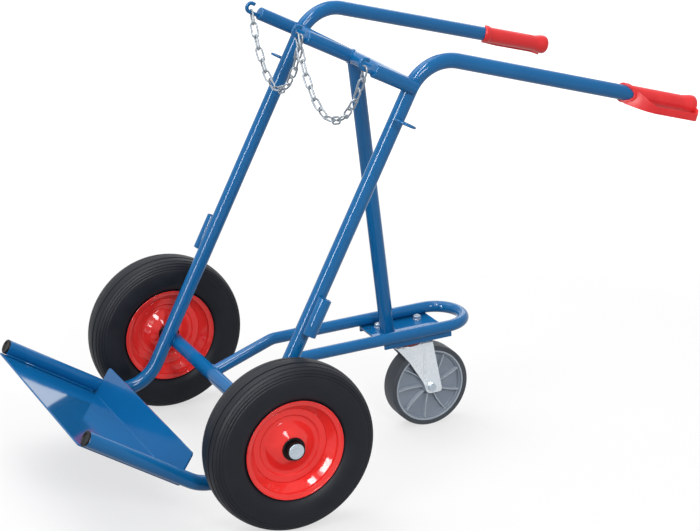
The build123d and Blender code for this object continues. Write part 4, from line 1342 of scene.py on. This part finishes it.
@dataclass
class Grips:
    """Moulded grips with a guard band on the outer side."""

    start: float = 503.6
    length: float = 193.0
    body_d: float = 39.0
    collar_d: float = 45.0
    collar_length: float = 12.0
    flare_d: float = 46.5
    flare_length: float = 35.0
    end_radius: float = 15.0
    bore_d: float = 35.2
    bore_depth: float = 154.5
    reach: float = 44.0
    wall: float = 4.0
    flare_reach: float = 75.0
    flare_steps: int = 24
    guard_bend: float = 9.0
    guard_bend_steps: int = 8
    top: float = 15.5
    root: float = 8.0
    front_bottom: float = 21.3
    band_top: float = 11.0
    bottom: float = 28.5
    fall_power: float = 0.85
    droop_power: float = 0.45
    edge_taper: float = 0.35
    band_points: int = 6
    end_inset: float = 4.0
    end_rise: float = 14.0
    mouth: float = 20.5
    mouth_power: float = 1.5
    mouth_fade: float = 2.6
    lead: float = 6.0

    def build(self, shop: Workshop) -> None:
        """Make both grips.

        Args:
            shop: maker of the pieces.
        """
        for side in Side:
            grip = self._handle(side).joined(self._guard(side))
            shop.piece(f"moulded_grip_{side.word}", grip, Finishes.RED_GRIP, Body.FRAME,
                       [f"grip_{side.word}"], sharp=40)

    def _place(self, side: Side) -> tuple[Array, Array, Array, Array]:
        """Where one grip starts, and its own directions.

        Args:
            side: which grip.

        Returns:
            Start point, and the directions along, outwards and up.
        """
        along = PLAN.handle_dir(side)
        outward = unit(np.cross(along, UP)) * side.sign
        lift = np.cross(outward, along) * side.sign
        return PLAN.side_tube(side)[2] + along * self.start, along, outward, lift

    def _handle(self, side: Side) -> Shape:
        """Turned body: collar, slim middle and a flared round end, moved by the slant of its front edge.

        Args:
            side: which grip.

        Returns:
            A closed skin.
        """
        start, along, outward, lift = self._place(side)
        slim, collar, flare = self.body_d / 2, self.collar_d / 2, self.flare_d / 2
        bore_r = self.bore_d / 2
        corners = [
            (0, bore_r, 0), (0, collar, 2.5), (self.collar_length, collar, 2.5),
            (self.collar_length + collar - slim, slim, 4), (self.length - self.flare_length, slim, 30),
            (self.length - self.end_radius, flare, 6), (self.length, flare, self.end_radius),
            (self.length, 0, 0), (self.bore_depth, 0, 0), (self.bore_depth, bore_r, 0)]
        turned = lathe(rounded(corners, steps=10), start, along)
        local = turned.points - start
        set_back = self._set_back(local @ along, local @ outward, local @ lift)
        return Shape(turned.points + set_back[:, None] * along, turned.faces)

    def _set_back(self, along: Array, outward: Array, lift: Array) -> Array:
        """How far the slanted front edge moves a point along the grip.

        With s the cosine of the angle round the grip from the outward direction, the edge moves back by
        mouth x s^1.5 on the outer side and forward by lead x (-s) on the inner side, fading along the grip.

        Args:
            along: distances from the front edge.
            outward: distances from the axis towards the outer side.
            lift: heights above the axis.

        Returns:
            The distances to move.
        """
        share = outward / np.maximum(np.hypot(outward, lift), LEAST_LENGTH)
        move = self.mouth * np.clip(share, 0, 1) ** self.mouth_power - self.lead * np.clip(-share, 0, 1)
        return move * np.clip(1 - along / (self.mouth_fade * self.mouth), 0, 1)

    def _guard(self, side: Side) -> Shape:
        """Band carried along a line from the collar out, back beside the grip and in at its end.

        At each place the band is a rectangle with narrowed edges: wall across the line, and from its lower
        to its upper edge in height. Both edges fall smoothly along the flare, and the upper one rises again
        where the band turns in at the end.

        Args:
            side: which grip.

        Returns:
            A closed skin.
        """
        start, along, outward, lift = self._place(side)
        middle = self.reach - self.wall / 2
        flare = curve((self.wall / 2, self.root), (self.flare_reach / 3, middle), (self.flare_reach, middle),
                      self.flare_steps)
        rear = self.length - self.end_inset - self.wall / 2
        end, _ = route([np.array([self.flare_reach, middle, 0]), np.array([rear, middle, 0]),
                        np.array([rear, self.body_d / 4, 0])], [self.guard_bend], self.guard_bend_steps)
        line = np.vstack([flare, end[1:, :2]])
        ahead = headings(line)
        normal = np.stack([-ahead[:, 1], ahead[:, 0]], axis=1)
        fall_start = self.collar_length / 2
        fall = np.clip((line[:, 0] - fall_start) / (self.flare_reach - fall_start), 0, 1) ** self.fall_power
        turned_in = np.clip((middle - line[:, 1]) / (middle - self.body_d / 2), 0, 1) * (fall >= 1)
        upper = self.top - (self.top + self.band_top) * fall + self.end_rise * (1 - (1 - turned_in) ** 2)
        droop = np.clip(line[:, 0] / self.flare_reach, 0, 1) ** self.droop_power
        lower = -self.front_bottom - (self.bottom - self.front_bottom) * droop
        corners = np.array([(-1, -1), (1, -1), (1, 1), (-1, 1)], float)
        section = np.vstack([np.linspace(first, second, self.band_points, endpoint=False)
                             for first, second in zip(corners, np.roll(corners, -1, axis=0))])
        on_edge = np.isclose(np.abs(section[:, 1]), 1)
        thick = section[:, 0] * (1 - self.edge_taper * on_edge) * self.wall / 2
        height = (upper + lower)[:, None] / 2 + (upper - lower)[:, None] / 2 * section[None, :, 1]
        place = line[:, None, :] + thick[None, :, None] * normal[:, None, :]
        place[:, :, 0] += self._set_back(place[:, :, 0], place[:, :, 1], height)
        points = (start + place[:, :, :1] * along + place[:, :, 1:] * outward + height[:, :, None] * lift)
        return capped(points)


@dataclass
class Castor:
    """Swivel castor: pressed fork, seal, ribbed wheel, tread, nuts and washers."""

    tubes: TubeFrame
    plate: float = 5.0
    trail: float = 52.0
    tyre_od: float = 205.0
    width: float = 50.0
    tread_play: float = 0.1
    tread_step: float = 0.5
    tread_step_drop: float = 6.0
    tread_step_rise: float = 0.4
    tread_fall: float = 0.6
    rim_d: float = 182.0
    rim_width: float = 46.0
    rim_wall: float = 6.0
    hub_d: float = 40.0
    hub_slope: float = 1.5
    bore_d: float = 18.1
    web: float = 20.0
    web_reach: float = 4.5
    ledge: float = 5.5
    ledge_reach: float = 2.5
    rim_edge: float = 1.0
    wheel_sides: int = 128
    ribs: int = 9
    rib_start: float = 18.0
    rib_inset: float = 2.0
    rib_lean: float = 5.0
    rib_rows: int = 14
    rib_root: float = 3.0
    rib_end: float = 1.0
    rib_foot: float = 2.4
    rib_crest: float = 1.7
    rib_sink: float = 2.0
    lip_sink: float = 0.6
    lip_rise: float = 0.5
    lip_round: float = 0.3
    lip_inner: Pair = (1.2, 1.6)
    lip_outer: Pair = (0.2, 0.6)
    crown_depth: float = 28.0
    fork_wall: float = 3.0
    fork_gap: float = 56.0
    fork_front: float = 40.0
    fork_rear: float = 58.0
    fork_bend: float = 3.5
    fork_steps: int = 8
    leg_rows: int = 26
    leg_stop: float = 6.0
    shoulder: float = 12.0
    waist: Pair = (57.0, 75.0)
    waist_round: float = 40.0
    knee: Pair = (21.0, 15.0)
    knee_round: float = 60.0
    foot_front: float = 11.0
    foot_rear: float = 30.0
    foot_drop: float = 17.0
    foot_corner: float = 10.0
    crease: float = 16.0
    crease_depth: float = 2.3
    crease_half: float = 4.0
    crease_room: float = 7.0
    press: float = 2.3
    press_start: float = 6.0
    press_rise: float = 14.0
    press_stop: float = 10.0
    press_fall: float = 18.0
    step_width: float = 5.0
    step_reach: float = 4.2
    step_points: int = 15
    leaf_points: int = 10
    seal_od: float = 76.0
    seal_wall: float = 4.0
    seal_top: float = 16.3
    seal_bottom: float = 27.5
    seal_sides: int = 72
    dome_height: float = 6.0
    dome_lip: float = 1.5
    bolt_x: float = 40.0
    bolt_y: float = 52.5
    washer_r: float = 10.0
    washer_bore_r: float = 5.6
    washer_height: float = 2.0
    flats: float = 17.0
    nut_height: float = 8.0
    nut_bore_r: float = 5.05
    axle_flats: float = 19.0
    axle_nut_height: float = 7.5
    axle_nut_bore_r: float = 6.05

    @property
    def origin(self) -> Array:
        """Point on the swivel axis at the mounting plate's underside."""
        return self.tubes.plate_top - self.tubes.plate_up * self.plate

    @property
    def drop(self) -> float:
        """Distance of the wheel's axle below the origin, square to the plate."""
        run, lift = self.tubes.run_dir, self.tubes.plate_up
        return (self.origin[2] + self.trail * run[2] - self.tyre_od / 2) / lift[2]

    @property
    def centre(self) -> Array:
        """Middle of the castor wheel."""
        return self.at(np.array([0.0, self.trail, -self.drop]))

    def at(self, points: Array) -> Array:
        """Points of (across, rearwards, up) from the origin, in the frame's millimetres."""
        return self.origin + points @ np.stack([ACROSS, self.tubes.run_dir, self.tubes.plate_up])

    def build(self, shop: Workshop) -> None:
        """Make the castor's visible pieces.

        Args:
            shop: maker of the pieces.
        """
        lift = self.tubes.plate_up
        shop.piece("pressed_fork", self._fork(), Finishes.FORK, Body.SWIVEL, ["castor_fork"], sharp=38)
        low, high, seal_r = -self.seal_bottom, -self.seal_top, self.seal_od / 2
        bore_r = seal_r - self.seal_wall
        ring = rounded([(low, bore_r, 0.5), (low, seal_r, 2.0), (high, seal_r, 1.2), (high, bore_r, 0.5)],
                       steps=4)
        seal = lathe(ring, self.origin, lift, self.seal_sides)
        shop.piece("dust_seal", seal, Finishes.SEAL, Body.SWIVEL, ["swivel_seal"])
        shop.piece("turned_castor_rim", self._rim(), Finishes.GREY, Body.CASTOR, ["castor_rim"])
        # Ribs and lips take the lighter grey, a painted highlight on the raised edges; the rim itself keeps
        # the plastic's own grey.
        shop.piece("castor_rim_ribs_with_painted_highlight", self._ribs(), Finishes.GREY_PAINTED_HIGHLIGHT, Body.CASTOR)
        tread = lathe(self._tread(), self.centre, ACROSS, self.wheel_sides)
        shop.piece("round_castor_tread", tread, Finishes.GREY_RUBBER, Body.CASTOR, ["castor_tread"])
        seats = [self.at(np.array([x, y, self.plate]))
                 for x in (-self.bolt_x, self.bolt_x) for y in (-self.bolt_y, self.bolt_y)]
        bore, rim, thick = self.washer_bore_r, self.washer_r, self.washer_height
        flat_ring = rounded([(0, bore, 0.3), (0, rim, 0.3), (thick, rim, 0.6), (thick, bore, 0.3)], steps=2)
        washers = [lathe(flat_ring, seat, lift, count=48) for seat in seats]
        shop.piece("plate_washers", together(washers), Finishes.ZINC, Body.FRAME, ["castor_washers"])
        nuts = [hexagon(seat + lift * thick, lift, self.flats, self.nut_height, self.nut_bore_r)
                for seat in seats]
        shop.piece("plate_nuts", together(nuts), Finishes.ZINC, Body.FRAME, ["castor_nuts"], sharp=25)
        far = self.centre - ACROSS * (self.fork_gap / 2 + self.fork_wall)
        nut = hexagon(far, -ACROSS, self.axle_flats, self.axle_nut_height, self.axle_nut_bore_r)
        shop.piece("castor_hex_nut", nut, Finishes.ZINC, Body.SWIVEL, ["castor_axle_nut"], sharp=25)

    def _fork_line(self, crown: float) -> Array:
        """Fold line of (across, height) from one foot over the crown to the other foot.

        Args:
            crown: height of the crown's sheet.

        Returns:
            Points of the line.
        """
        half = (self.fork_gap + self.fork_wall) / 2
        foot = -self.drop - self.foot_drop
        corner = foot + self.foot_corner
        legs = np.concatenate([np.linspace(foot, corner, self.fork_steps + 1)[:-1],
                               np.linspace(corner, crown - self.leg_stop, self.leg_rows)])
        bends = [np.array([half, foot, 0.0]), np.array([half, crown, 0.0]), np.array([0.0, crown, 0.0])]
        fold, _ = route(bends, [self.fork_bend], self.fork_steps)
        up_leg = np.stack([np.full(len(legs), half), legs], axis=1)
        near = np.vstack([up_leg, fold[1:-1, :2], [(half - self.shoulder, crown), (0, crown)]])
        return np.vstack([near, (near * np.array([-1, 1]))[::-1][1:]])

    def _fork_edges(self, above: Array, top: float) -> tuple[Array, Array]:
        """Where the fork's sheet starts and ends, measured rearwards from the wheel's axle.

        The front edge runs over the knee and the waist, and the rear edge is straight. At the foot both draw
        in by corner x (1 - sqrt(1 - q^2)), with q falling from 1 at the bottom to 0 at the corner's height.

        Args:
            above: heights above the wheel's axle.
            top: height of the crown above it.

        Returns:
            Front and rear edge, one place for each height.
        """
        (knee_out, knee_up), (waist_out, waist_up) = self.knee, self.waist
        edge = rounded([(-self.foot_drop, -self.foot_front, 0), (knee_up, -knee_out, self.knee_round),
                        (waist_up, -waist_out, self.waist_round), (top, -self.fork_front - self.trail, 0)],
                       self.fork_steps, closed=False)
        front = np.interp(above, edge[:, 0], edge[:, 1])
        rear = np.interp(above, [-self.foot_drop, top], [self.foot_rear, self.fork_rear - self.trail])
        low = np.clip(1 - (above + self.foot_drop) / self.foot_corner, 0, 1)
        pull = self.foot_corner * (1 - np.sqrt(1 - low ** 2))
        return front + pull, rear - pull

    def _fork(self) -> Shape:
        """One strip of sheet folded down both sides of the wheel, and the dome on its crown.

        Rows follow the fold line, and in each row the sheet runs from its front edge to its rear edge. The
        part of a leg ahead of the crease is pressed in by the smooth step q^2 (3 - 2q), with a shallow V
        along the step on the outer face.

        Returns:
            A closed skin.
        """
        crown = -self.crown_depth - self.fork_wall / 2
        top = self.drop + crown
        line = self._fork_line(crown)
        ahead = headings(line)
        normal = np.stack([ahead[:, 1], -ahead[:, 0]], axis=1)
        above = line[:, 1] + self.drop
        front, rear = (edge[:, None] for edge in self._fork_edges(above, top))
        fold_at = np.maximum(-self.crease, front + self.crease_room)
        width = self.step_width
        far = np.linspace(0, 1, self.leaf_points, endpoint=False)[None, :]
        close = np.linspace(-self.step_reach, self.step_reach, self.step_points)[None, :]
        front_leaf = front + (fold_at - width - front) * far
        rear_leaf = fold_at + width + (rear - fold_at - width) * (far + 1 / self.leaf_points)
        y = np.hstack([front_leaf, fold_at + close, rear_leaf])
        ramp = np.clip((fold_at - y) / width + 0.5, 0, 1)
        groove = self.crease_depth * np.clip(1 - np.abs(y - fold_at) / self.crease_half, 0, 1)
        band = (np.clip((above - self.press_start) / self.press_rise, 0, 1)
                * np.clip((top - self.press_stop - above) / self.press_fall, 0, 1))[:, None]
        sink = self.press * ramp ** 2 * (3 - 2 * ramp) * band
        outer_face = self.fork_wall / 2 - sink - groove * band
        inner_face = -self.fork_wall / 2 - sink
        y = np.hstack([y, y[:, ::-1]])
        shift = np.hstack([outer_face, inner_face[:, ::-1]])
        x = line[:, :1] + normal[:, :1] * shift
        z = line[:, 1:] + normal[:, 1:] * shift
        sheet = capped(self.at(np.stack([x, y + self.trail, z], axis=2)))
        high, edge_r = -self.seal_bottom, self.seal_od / 2 + self.dome_lip
        low = high - self.dome_height
        dome = rounded([(low, 0, 0), (low, edge_r, 0), (high, edge_r, 2.0), (high, 0, 0)], steps=5,
                       closed=False)
        return sheet.joined(lathe(dome, self.origin, self.tubes.plate_up, self.seal_sides, closed=False))

    def _tread(self) -> Array:
        """Closed tread section: low crown, round edges and a fine mould line beside each edge.

        Returns:
            Points of the section.
        """
        inner, outer, half = self.rim_d / 2 + self.tread_play, self.tyre_od / 2, self.width / 2
        inset = half - self.tread_step
        mould_line = outer - self.tread_step_drop
        edge = [(half, inner, 0.4), (half, mould_line, 0.3),
                (inset, mould_line + self.tread_step_rise, 0.3), (inset, outer - self.tread_fall, 7.0)]
        return rounded(edge + [(0, outer, 60.0)] + flipped(edge)[::-1], steps=8)

    def _rim(self) -> Shape:
        """Turned hub, web and rim.

        Returns:
            A closed ring.
        """
        half, web, hub_face = self.rim_width / 2, self.web / 2, self.width / 2
        outer, inner, hub = self.rim_d / 2, self.rim_d / 2 - self.rim_wall, self.hub_d / 2
        ledge = half - self.ledge
        face = [(hub_face, self.bore_d / 2, 0.4), (hub_face, hub - self.hub_slope, 1.5),
                (web, hub + self.hub_slope, 4.0), (web, inner - self.web_reach, 3.0),
                (ledge, inner - self.ledge_reach, 1.0), (ledge, inner, 1.0),
                (half, inner + self.rim_edge, 1.2), (half, outer, 0.6)]
        return lathe(rounded(face + flipped(face)[::-1], steps=4), self.centre, ACROSS, self.wheel_sides)

    def _ribs(self) -> Shape:
        """Slightly curved ribs on both faces, and the thin lip round each face.

        A rib's angle grows by lean x q^2, with q its share of the way from the hub to the rim.

        Returns:
            Ribs and lips as one shape.
        """
        half, floor = self.rim_width / 2, self.web / 2 - self.rib_sink
        crest, foot_half, crest_half = half - self.rib_inset, self.rib_foot, self.rib_crest
        outer, inner, hub = self.rim_d / 2, self.rim_d / 2 - self.rim_wall, self.hub_d / 2
        r = np.linspace(hub - self.rib_root, inner - self.rib_end, self.rib_rows)
        turn = np.radians(self.rib_lean) * ((r - r[0]) / (r[-1] - r[0])) ** 2
        outline = rounded([(-foot_half, floor, 0), (foot_half, floor, 0), (crest_half, crest, 1.2),
                           (-crest_half, crest, 1.2)], steps=4)
        low, high, edge = half - self.lip_sink, half + self.lip_rise, self.lip_round
        (low_start, high_start), (low_end, high_end) = self.lip_inner, self.lip_outer
        lip = [(low, inner + low_start, edge), (high, inner + high_start, edge),
               (high, outer - high_end, edge), (low, outer - low_end, edge)]
        made = []
        for face in (1.0, -1.0):
            made.append(lathe(rounded(flipped(lip, face), steps=3), self.centre, ACROSS, self.wheel_sides))
            for angle in radians(self.rib_start) + full_turn(self.ribs):
                t = angle + turn
                out = np.stack([np.cos(t), np.sin(t)], axis=1)
                across = np.stack([-np.sin(t), np.cos(t)], axis=1)
                place = r[:, None, None] * out[:, None] + outline[None, :, :1] * across[:, None]
                depth = np.broadcast_to(face * outline[None, :, 1:], (*place.shape[:2], 1))
                made.append(capped(self.centre + np.concatenate([depth, place], axis=2)))
        return together(made)


@dataclass
class Welds:
    """Rippled weld beads where the tubes meet."""

    tubes: TubeFrame
    fittings: RodFittings
    bead: float = 2.6
    ripple: float = 0.35
    ripple_pitch: float = 3.4
    bead_points: int = 12
    ring_points: int = 96
    arc_points: int = 40
    start_direction: Triple = (0.31, 0.52, 0.79)
    thinnest_end: float = 0.01
    centre_arm_reach: float = 60.0
    centre_arm_play: float = 1.02
    side_arm_reach: float = 80.0
    axle_arc: float = 0.22 * pi
    arm_arc: float = 0.42 * pi
    sleeve_bead: float = 20.0
    sleeve_spacing: float = 30.0
    sleeve_offset: float = 5.5
    sleeve_points: int = 24
    ring_bead: float = 9.0
    ring_inset: float = 1.5
    ring_offset: float = 4.0
    ring_bead_points: int = 14
    seam_bead: float = 3.2
    seam_start: float = 128.0
    seam_stop: float = 1.0
    seam_depth: float = 2.4
    seam_inset: float = 11.0
    seam_points: int = 150

    def _bead(self, places: Array, size: float, closed: bool = False) -> Shape:
        """Bead along a line, radius size x (1 - ripple + ripple x |cos(pi s / pitch)|), thin at open ends.

        Args:
            places: points on the line.
            size: radius of the bead.
            closed: whether the line is a ring.

        Returns:
            A closed skin.
        """
        s = np.concatenate([[0], np.cumsum(np.linalg.norm(np.diff(places, axis=0), axis=1))])
        radius = size * (1 - self.ripple + self.ripple * np.abs(np.cos(pi * s / self.ripple_pitch)))
        start = unit(self.start_direction)
        if closed:
            rings = rings_along(places, ring_headings(places), radius, start, self.bead_points)
            return sheet_of(rings, wrap_rows=True, wrap_columns=True)
        radius = radius * np.sqrt(np.clip(np.minimum(s, s[-1] - s) / (2 * size), self.thinnest_end, 1))
        return capped(rings_along(places, headings(places), radius, start, self.bead_points))

    @staticmethod
    def _saddle(root: Array, axis: Array, radius: float, other: Array, other_axis: Array,
                other_radius: float, angles: Array) -> Array:
        """Line where one round tube runs into another.

        A point at angle t of the first tube moves along that tube until its distance from the other tube's
        axis is the other radius; the nearer of the two solutions is taken.

        Args:
            root: point on the first tube's axis, outside the other tube.
            axis: direction of the first tube towards the other.
            radius: radius of the first tube.
            other: point on the other tube's axis.
            other_axis: its direction.
            other_radius: its radius.
            angles: angles round the first tube.

        Returns:
            Points of the line.
        """
        a, b = unit(axis), unit(other_axis)
        start = root + radius * spokes_round(a, b, angles)
        gap = start - other
        gap = gap - (gap @ b)[:, None] * b
        flat = a - (a @ b) * b
        along, length = gap @ flat, flat @ flat
        inside = np.maximum(along ** 2 - length * ((gap ** 2).sum(axis=1) - other_radius ** 2), 0)
        step = (-along - np.sqrt(inside)) / length
        return start + step[:, None] * a

    def build(self, shop: Workshop) -> None:
        """Lay the beads on every welded joint of the frame.

        Args:
            shop: maker of the pieces.
        """
        full = full_turn(self.ring_points)
        tubes, bar = self.tubes, PLAN.arm_root(0.0)
        arm_r, tube_r, loop_r = PLAN.arm_od / 2, PLAN.tube_od / 2, tubes.loop_od / 2
        leg = unit(tubes.loop_corner - PLAN.axle)
        beads = []
        for side in Side:
            out = ACROSS * side.sign
            upright = PLAN.on_upright(0.0, side.sign * PLAN.half_frame)
            corner = tubes.loop_corner + out * tubes.loop_width / 2
            rings = [self._saddle(bar, out, arm_r, upright, PLAN.up_dir, tube_r, full),
                     self._saddle(corner, -leg, loop_r, PLAN.axle, ACROSS, tube_r, full)]
            beads += [self._bead(ring, self.bead, closed=True) for ring in rings]
            beads += self._upright_beads(side)
        top, foot = tubes.strut_top, tubes.strut_foot
        way = unit(foot - top)
        rim = top + tube_r * spokes_round(way, ACROSS, full)
        step = ((tubes.plate_top - rim) @ tubes.plate_up) / (way @ tubes.plate_up)
        arm = bar + PLAN.front_dir * self.centre_arm_reach
        rings = [self._saddle(foot, top - foot, tube_r, bar, ACROSS, arm_r, full),
                 rim + step[:, None] * way,
                 self._saddle(arm, -PLAN.front_dir, arm_r, bar, ACROSS, arm_r * self.centre_arm_play, full)]
        beads += [self._bead(ring, self.bead, closed=True) for ring in rings]
        shop.piece("weld_beads", together(beads), Finishes.BLUE, Body.FRAME, sharp=60)

    def _upright_beads(self, side: Side) -> list[Shape]:
        """Beads between one side tube and its arm, sleeve, ring, axle tube and toe sheet.

        Args:
            side: which tube.

        Returns:
            The beads, one shape each.
        """
        tube_r, arm_r = PLAN.tube_od / 2, PLAN.arm_od / 2
        out, x = ACROSS * side.sign, side.sign * PLAN.half_frame
        upright = PLAN.on_upright(0.0, x)
        outer = x + side.sign * tube_r
        axle_side, arm_side = (0, pi) if side is Side.LEFT else (pi, 0)
        turn = np.linspace(-self.axle_arc, self.axle_arc, self.arc_points) + axle_side
        lines = [self._saddle(PLAN.axle, out, tube_r, upright, PLAN.up_dir, tube_r, turn)]
        turn = np.linspace(-self.arm_arc, self.arm_arc, self.arc_points) + arm_side
        arm = PLAN.arm_root(outer) + PLAN.front_dir * self.side_arm_reach
        lines.append(self._saddle(arm, -PLAN.front_dir, arm_r, upright, PLAN.up_dir, tube_r, turn))
        leans = (PLAN.front_dir, -PLAN.front_dir)
        half = self.sleeve_bead / 2
        run = np.linspace(-half, half, self.sleeve_points)[:, None] * PLAN.up_dir
        for spacing in (self.sleeve_spacing, -self.sleeve_spacing):
            middle = PLAN.on_upright(self.fittings.sleeve_rise + spacing, outer)
            lines += [middle + lean * self.sleeve_offset + run for lean in leans]
        half = self.ring_bead / 2
        run = np.linspace(-half, half, self.ring_bead_points)[:, None] * PLAN.up_dir
        middle = PLAN.on_upright(self.fittings.ring_rise, outer + side.sign * self.ring_inset)
        lines += [middle + lean * self.ring_offset + run for lean in leans]
        low = PLAN.on_upright(-PLAN.toe_corner_drop, x) - PLAN.toe_up * (tube_r - self.seam_depth)
        run = np.linspace(self.seam_start, PLAN.toe_length - self.seam_stop, self.seam_points)
        seam = low + run[:, None] * PLAN.toe_dir - out * self.seam_inset
        return [self._bead(line, self.bead) for line in lines] + [self._bead(seam, self.seam_bead)]


def seen_rays(tree: bpy.types.NodeTree) -> bpy.types.NodeSocket:
    """Value that is 1 for rays from the camera, in reflections and through clear pieces, and 0 for others.

    Args:
        tree: node tree that gets the nodes.

    Returns:
        The value's socket.
    """
    rays = tree.nodes.new("ShaderNodeLightPath")
    value = rays.outputs["Is Camera Ray"]
    for kind in ("Is Glossy Ray", "Is Transmission Ray"):
        either = tree.nodes.new("ShaderNodeMath")
        either.operation = "MAXIMUM"
        tree.links.new(value, either.inputs[0])
        tree.links.new(rays.outputs[kind], either.inputs[1])
        value = either.outputs["Value"]
    return value


@dataclass(frozen=True)
class Lamp:
    """Soft lamp with a flat face that looks at the trolley's middle; lengths in metres, power in watts.

    One for sheen only shows in glossy surfaces and doesn't light matt ones.
    """

    name: str
    place: Triple
    size: Pair
    power: float
    sheen_only: bool = False
    aim: Triple = (0.0, 0.0, 0.45)

    def build(self) -> None:
        """Put the lamp into the scene."""
        data = bpy.data.lights.new(self.name, "AREA")
        data.shape = "RECTANGLE"
        data.size, data.size_y = self.size
        data.energy = self.power
        lamp = bpy.data.objects.new(self.name, data)
        lamp.location = self.place
        lamp.visible_diffuse = not self.sheen_only
        lamp.rotation_euler = (Vector(self.aim) - Vector(self.place)).to_track_quat("-Z", "Y").to_euler()
        bpy.context.scene.collection.objects.link(lamp)


@dataclass
class Studio:
    """Camera, lamps, floor and background; the camera's place is in millimetres, the floor in metres."""

    place: Triple = (4153.70, -1646.98, 2052.98)
    azimuth: float = 64.5603
    elevation: float = 19.3642
    focal_pixels: float = 2070.03
    frame_pixels: float = 700.0
    sensor: float = 36.0
    farthest: float = 50.0
    world_level: float = 0.68
    floor_reach: float = 30.0
    floor_tone: float = 0.28
    floor_roughness: float = 0.9
    floor_glow: float = 0.63
    fade: Pair = (1.2, 3.2)
    lamps: tuple[Lamp, ...] = (
        Lamp("key", (4.2, -0.6, 2.9), (1.0, 1.0), 80.0),
        Lamp("front", (2.0, -4.2, 3.4), (2.0, 2.0), 60.0),
        Lamp("top", (-1.2, -0.8, 4.0), (3.0, 3.0), 94.0),
        Lamp("tall_strip", (1.84, -3.9, 2.36), (0.7, 2.6), 180.0, sheen_only=True),
        Lamp("ceiling_strip", (1.6, -1.4, 3.7), (0.6, 2.2), 150.0, sheen_only=True),
        Lamp("back", (-3.4, 2.6, 2.6), (2.0, 2.0), 25.0),
    )

    def build(self) -> None:
        """Set up the picture."""
        scene = bpy.context.scene
        scene.view_settings.view_transform = "Standard"
        self._camera(scene)
        self._world(scene)
        self._floor(scene)
        for lamp in self.lamps:
            lamp.build()

    def _camera(self, scene: bpy.types.Scene) -> None:
        """Camera at the photograph's place, which looks back along (sin a cos e, -cos a cos e, sin e).

        Args:
            scene: scene that gets the camera.
        """
        a, e = radians(self.azimuth), radians(self.elevation)
        back = np.array([sin(a) * cos(e), -cos(a) * cos(e), sin(e)])
        right = np.array([cos(a), sin(a), 0])
        up = np.cross(back, right)
        data = bpy.data.cameras.new("view")
        data.sensor_fit = "HORIZONTAL"
        data.sensor_width = self.sensor
        data.lens = self.focal_pixels / self.frame_pixels * self.sensor
        data.clip_end = self.farthest
        camera = bpy.data.objects.new("view", data)
        scene.collection.objects.link(camera)
        matrix = np.eye(4)
        matrix[:3, :3] = np.stack([right, up, back], axis=1)
        matrix[:3, 3] = to_packed(np.array(self.place))
        camera.matrix_world = Matrix(matrix.tolist())
        scene.camera = camera

    def _world(self, scene: bpy.types.Scene) -> None:
        """White to the camera and in reflections, a softer level of light for the rest.

        Args:
            scene: scene that gets the world.
        """
        world = bpy.data.worlds.new("studio")
        scene.world = world
        world.use_nodes = True
        nodes, links = world.node_tree.nodes, world.node_tree.links
        background = nodes["Background"]
        set_inputs(background, {"Color": (1, 1, 1, 1)})
        level = nodes.new("ShaderNodeMapRange")
        set_inputs(level, {"To Min": self.world_level, "To Max": 1.0})
        links.new(seen_rays(world.node_tree), level.inputs["Value"])
        links.new(level.outputs["Result"], background.inputs["Strength"])

    def _floor(self, scene: bpy.types.Scene) -> None:
        """Wide floor that keeps the shadows near the trolley and turns plain white further away.

        Args:
            scene: scene that gets the floor.
        """
        mesh = bpy.data.meshes.new("floor")
        reach = self.floor_reach
        corners = [(-reach, -reach, 0), (reach, -reach, 0), (reach, reach, 0), (-reach, reach, 0)]
        mesh.from_pydata(corners, [], [(0, 1, 2, 3)])
        floor = bpy.data.objects.new("floor", mesh)
        scene.collection.objects.link(floor)
        made = bpy.data.materials.new("pale_floor")
        made.use_nodes = True
        nodes, links = made.node_tree.nodes, made.node_tree.links
        shader = nodes["Principled BSDF"]
        tone = self.floor_tone
        set_inputs(shader, {"Base Color": (tone, tone, tone, 1), "Roughness": self.floor_roughness,
                            "Specular IOR Level": 0.0})
        glow = nodes.new("ShaderNodeEmission")
        place = nodes.new("ShaderNodeTexCoord")
        away = nodes.new("ShaderNodeVectorMath")
        away.operation = "LENGTH"
        links.new(place.outputs["Object"], away.inputs[0])
        fade = nodes.new("ShaderNodeMapRange")
        fade.interpolation_type = "SMOOTHSTEP"
        near, far = self.fade
        set_inputs(fade, {"From Min": near, "From Max": far, "To Min": self.floor_glow, "To Max": 1.0})
        links.new(away.outputs["Value"], fade.inputs["Value"])
        level = nodes.new("ShaderNodeMath")
        level.operation = "MULTIPLY"
        links.new(seen_rays(made.node_tree), level.inputs[0])
        links.new(fade.outputs["Result"], level.inputs[1])
        links.new(level.outputs["Value"], glow.inputs["Strength"])
        both = nodes.new("ShaderNodeAddShader")
        links.new(shader.outputs["BSDF"], both.inputs[0])
        links.new(glow.outputs["Emission"], both.inputs[1])
        links.new(both.outputs["Shader"], nodes["Material Output"].inputs["Surface"])
        mesh.materials.append(made)


def main() -> None:
    """Build the sub-assemblies in order, then the studio."""
    logging.basicConfig(level=logging.INFO, format="%(name)s: %(message)s")
    shop = Workshop()
    shop.dress_cad()
    tubes, arms, fittings = TubeFrame(), Arms(), RodFittings()
    tubes.build(shop)
    arms.build(shop)
    Chains().build(shop, arms)
    ToePlate().build(shop)
    fittings.build(shop)
    Wheels().build(shop)
    Grips().build(shop)
    Castor(tubes).build(shop)
    Welds(tubes, fittings).build(shop)
    Studio().build()
    log.info("%d pieces made", shop.made)


if __name__ == "__main__":
    main()
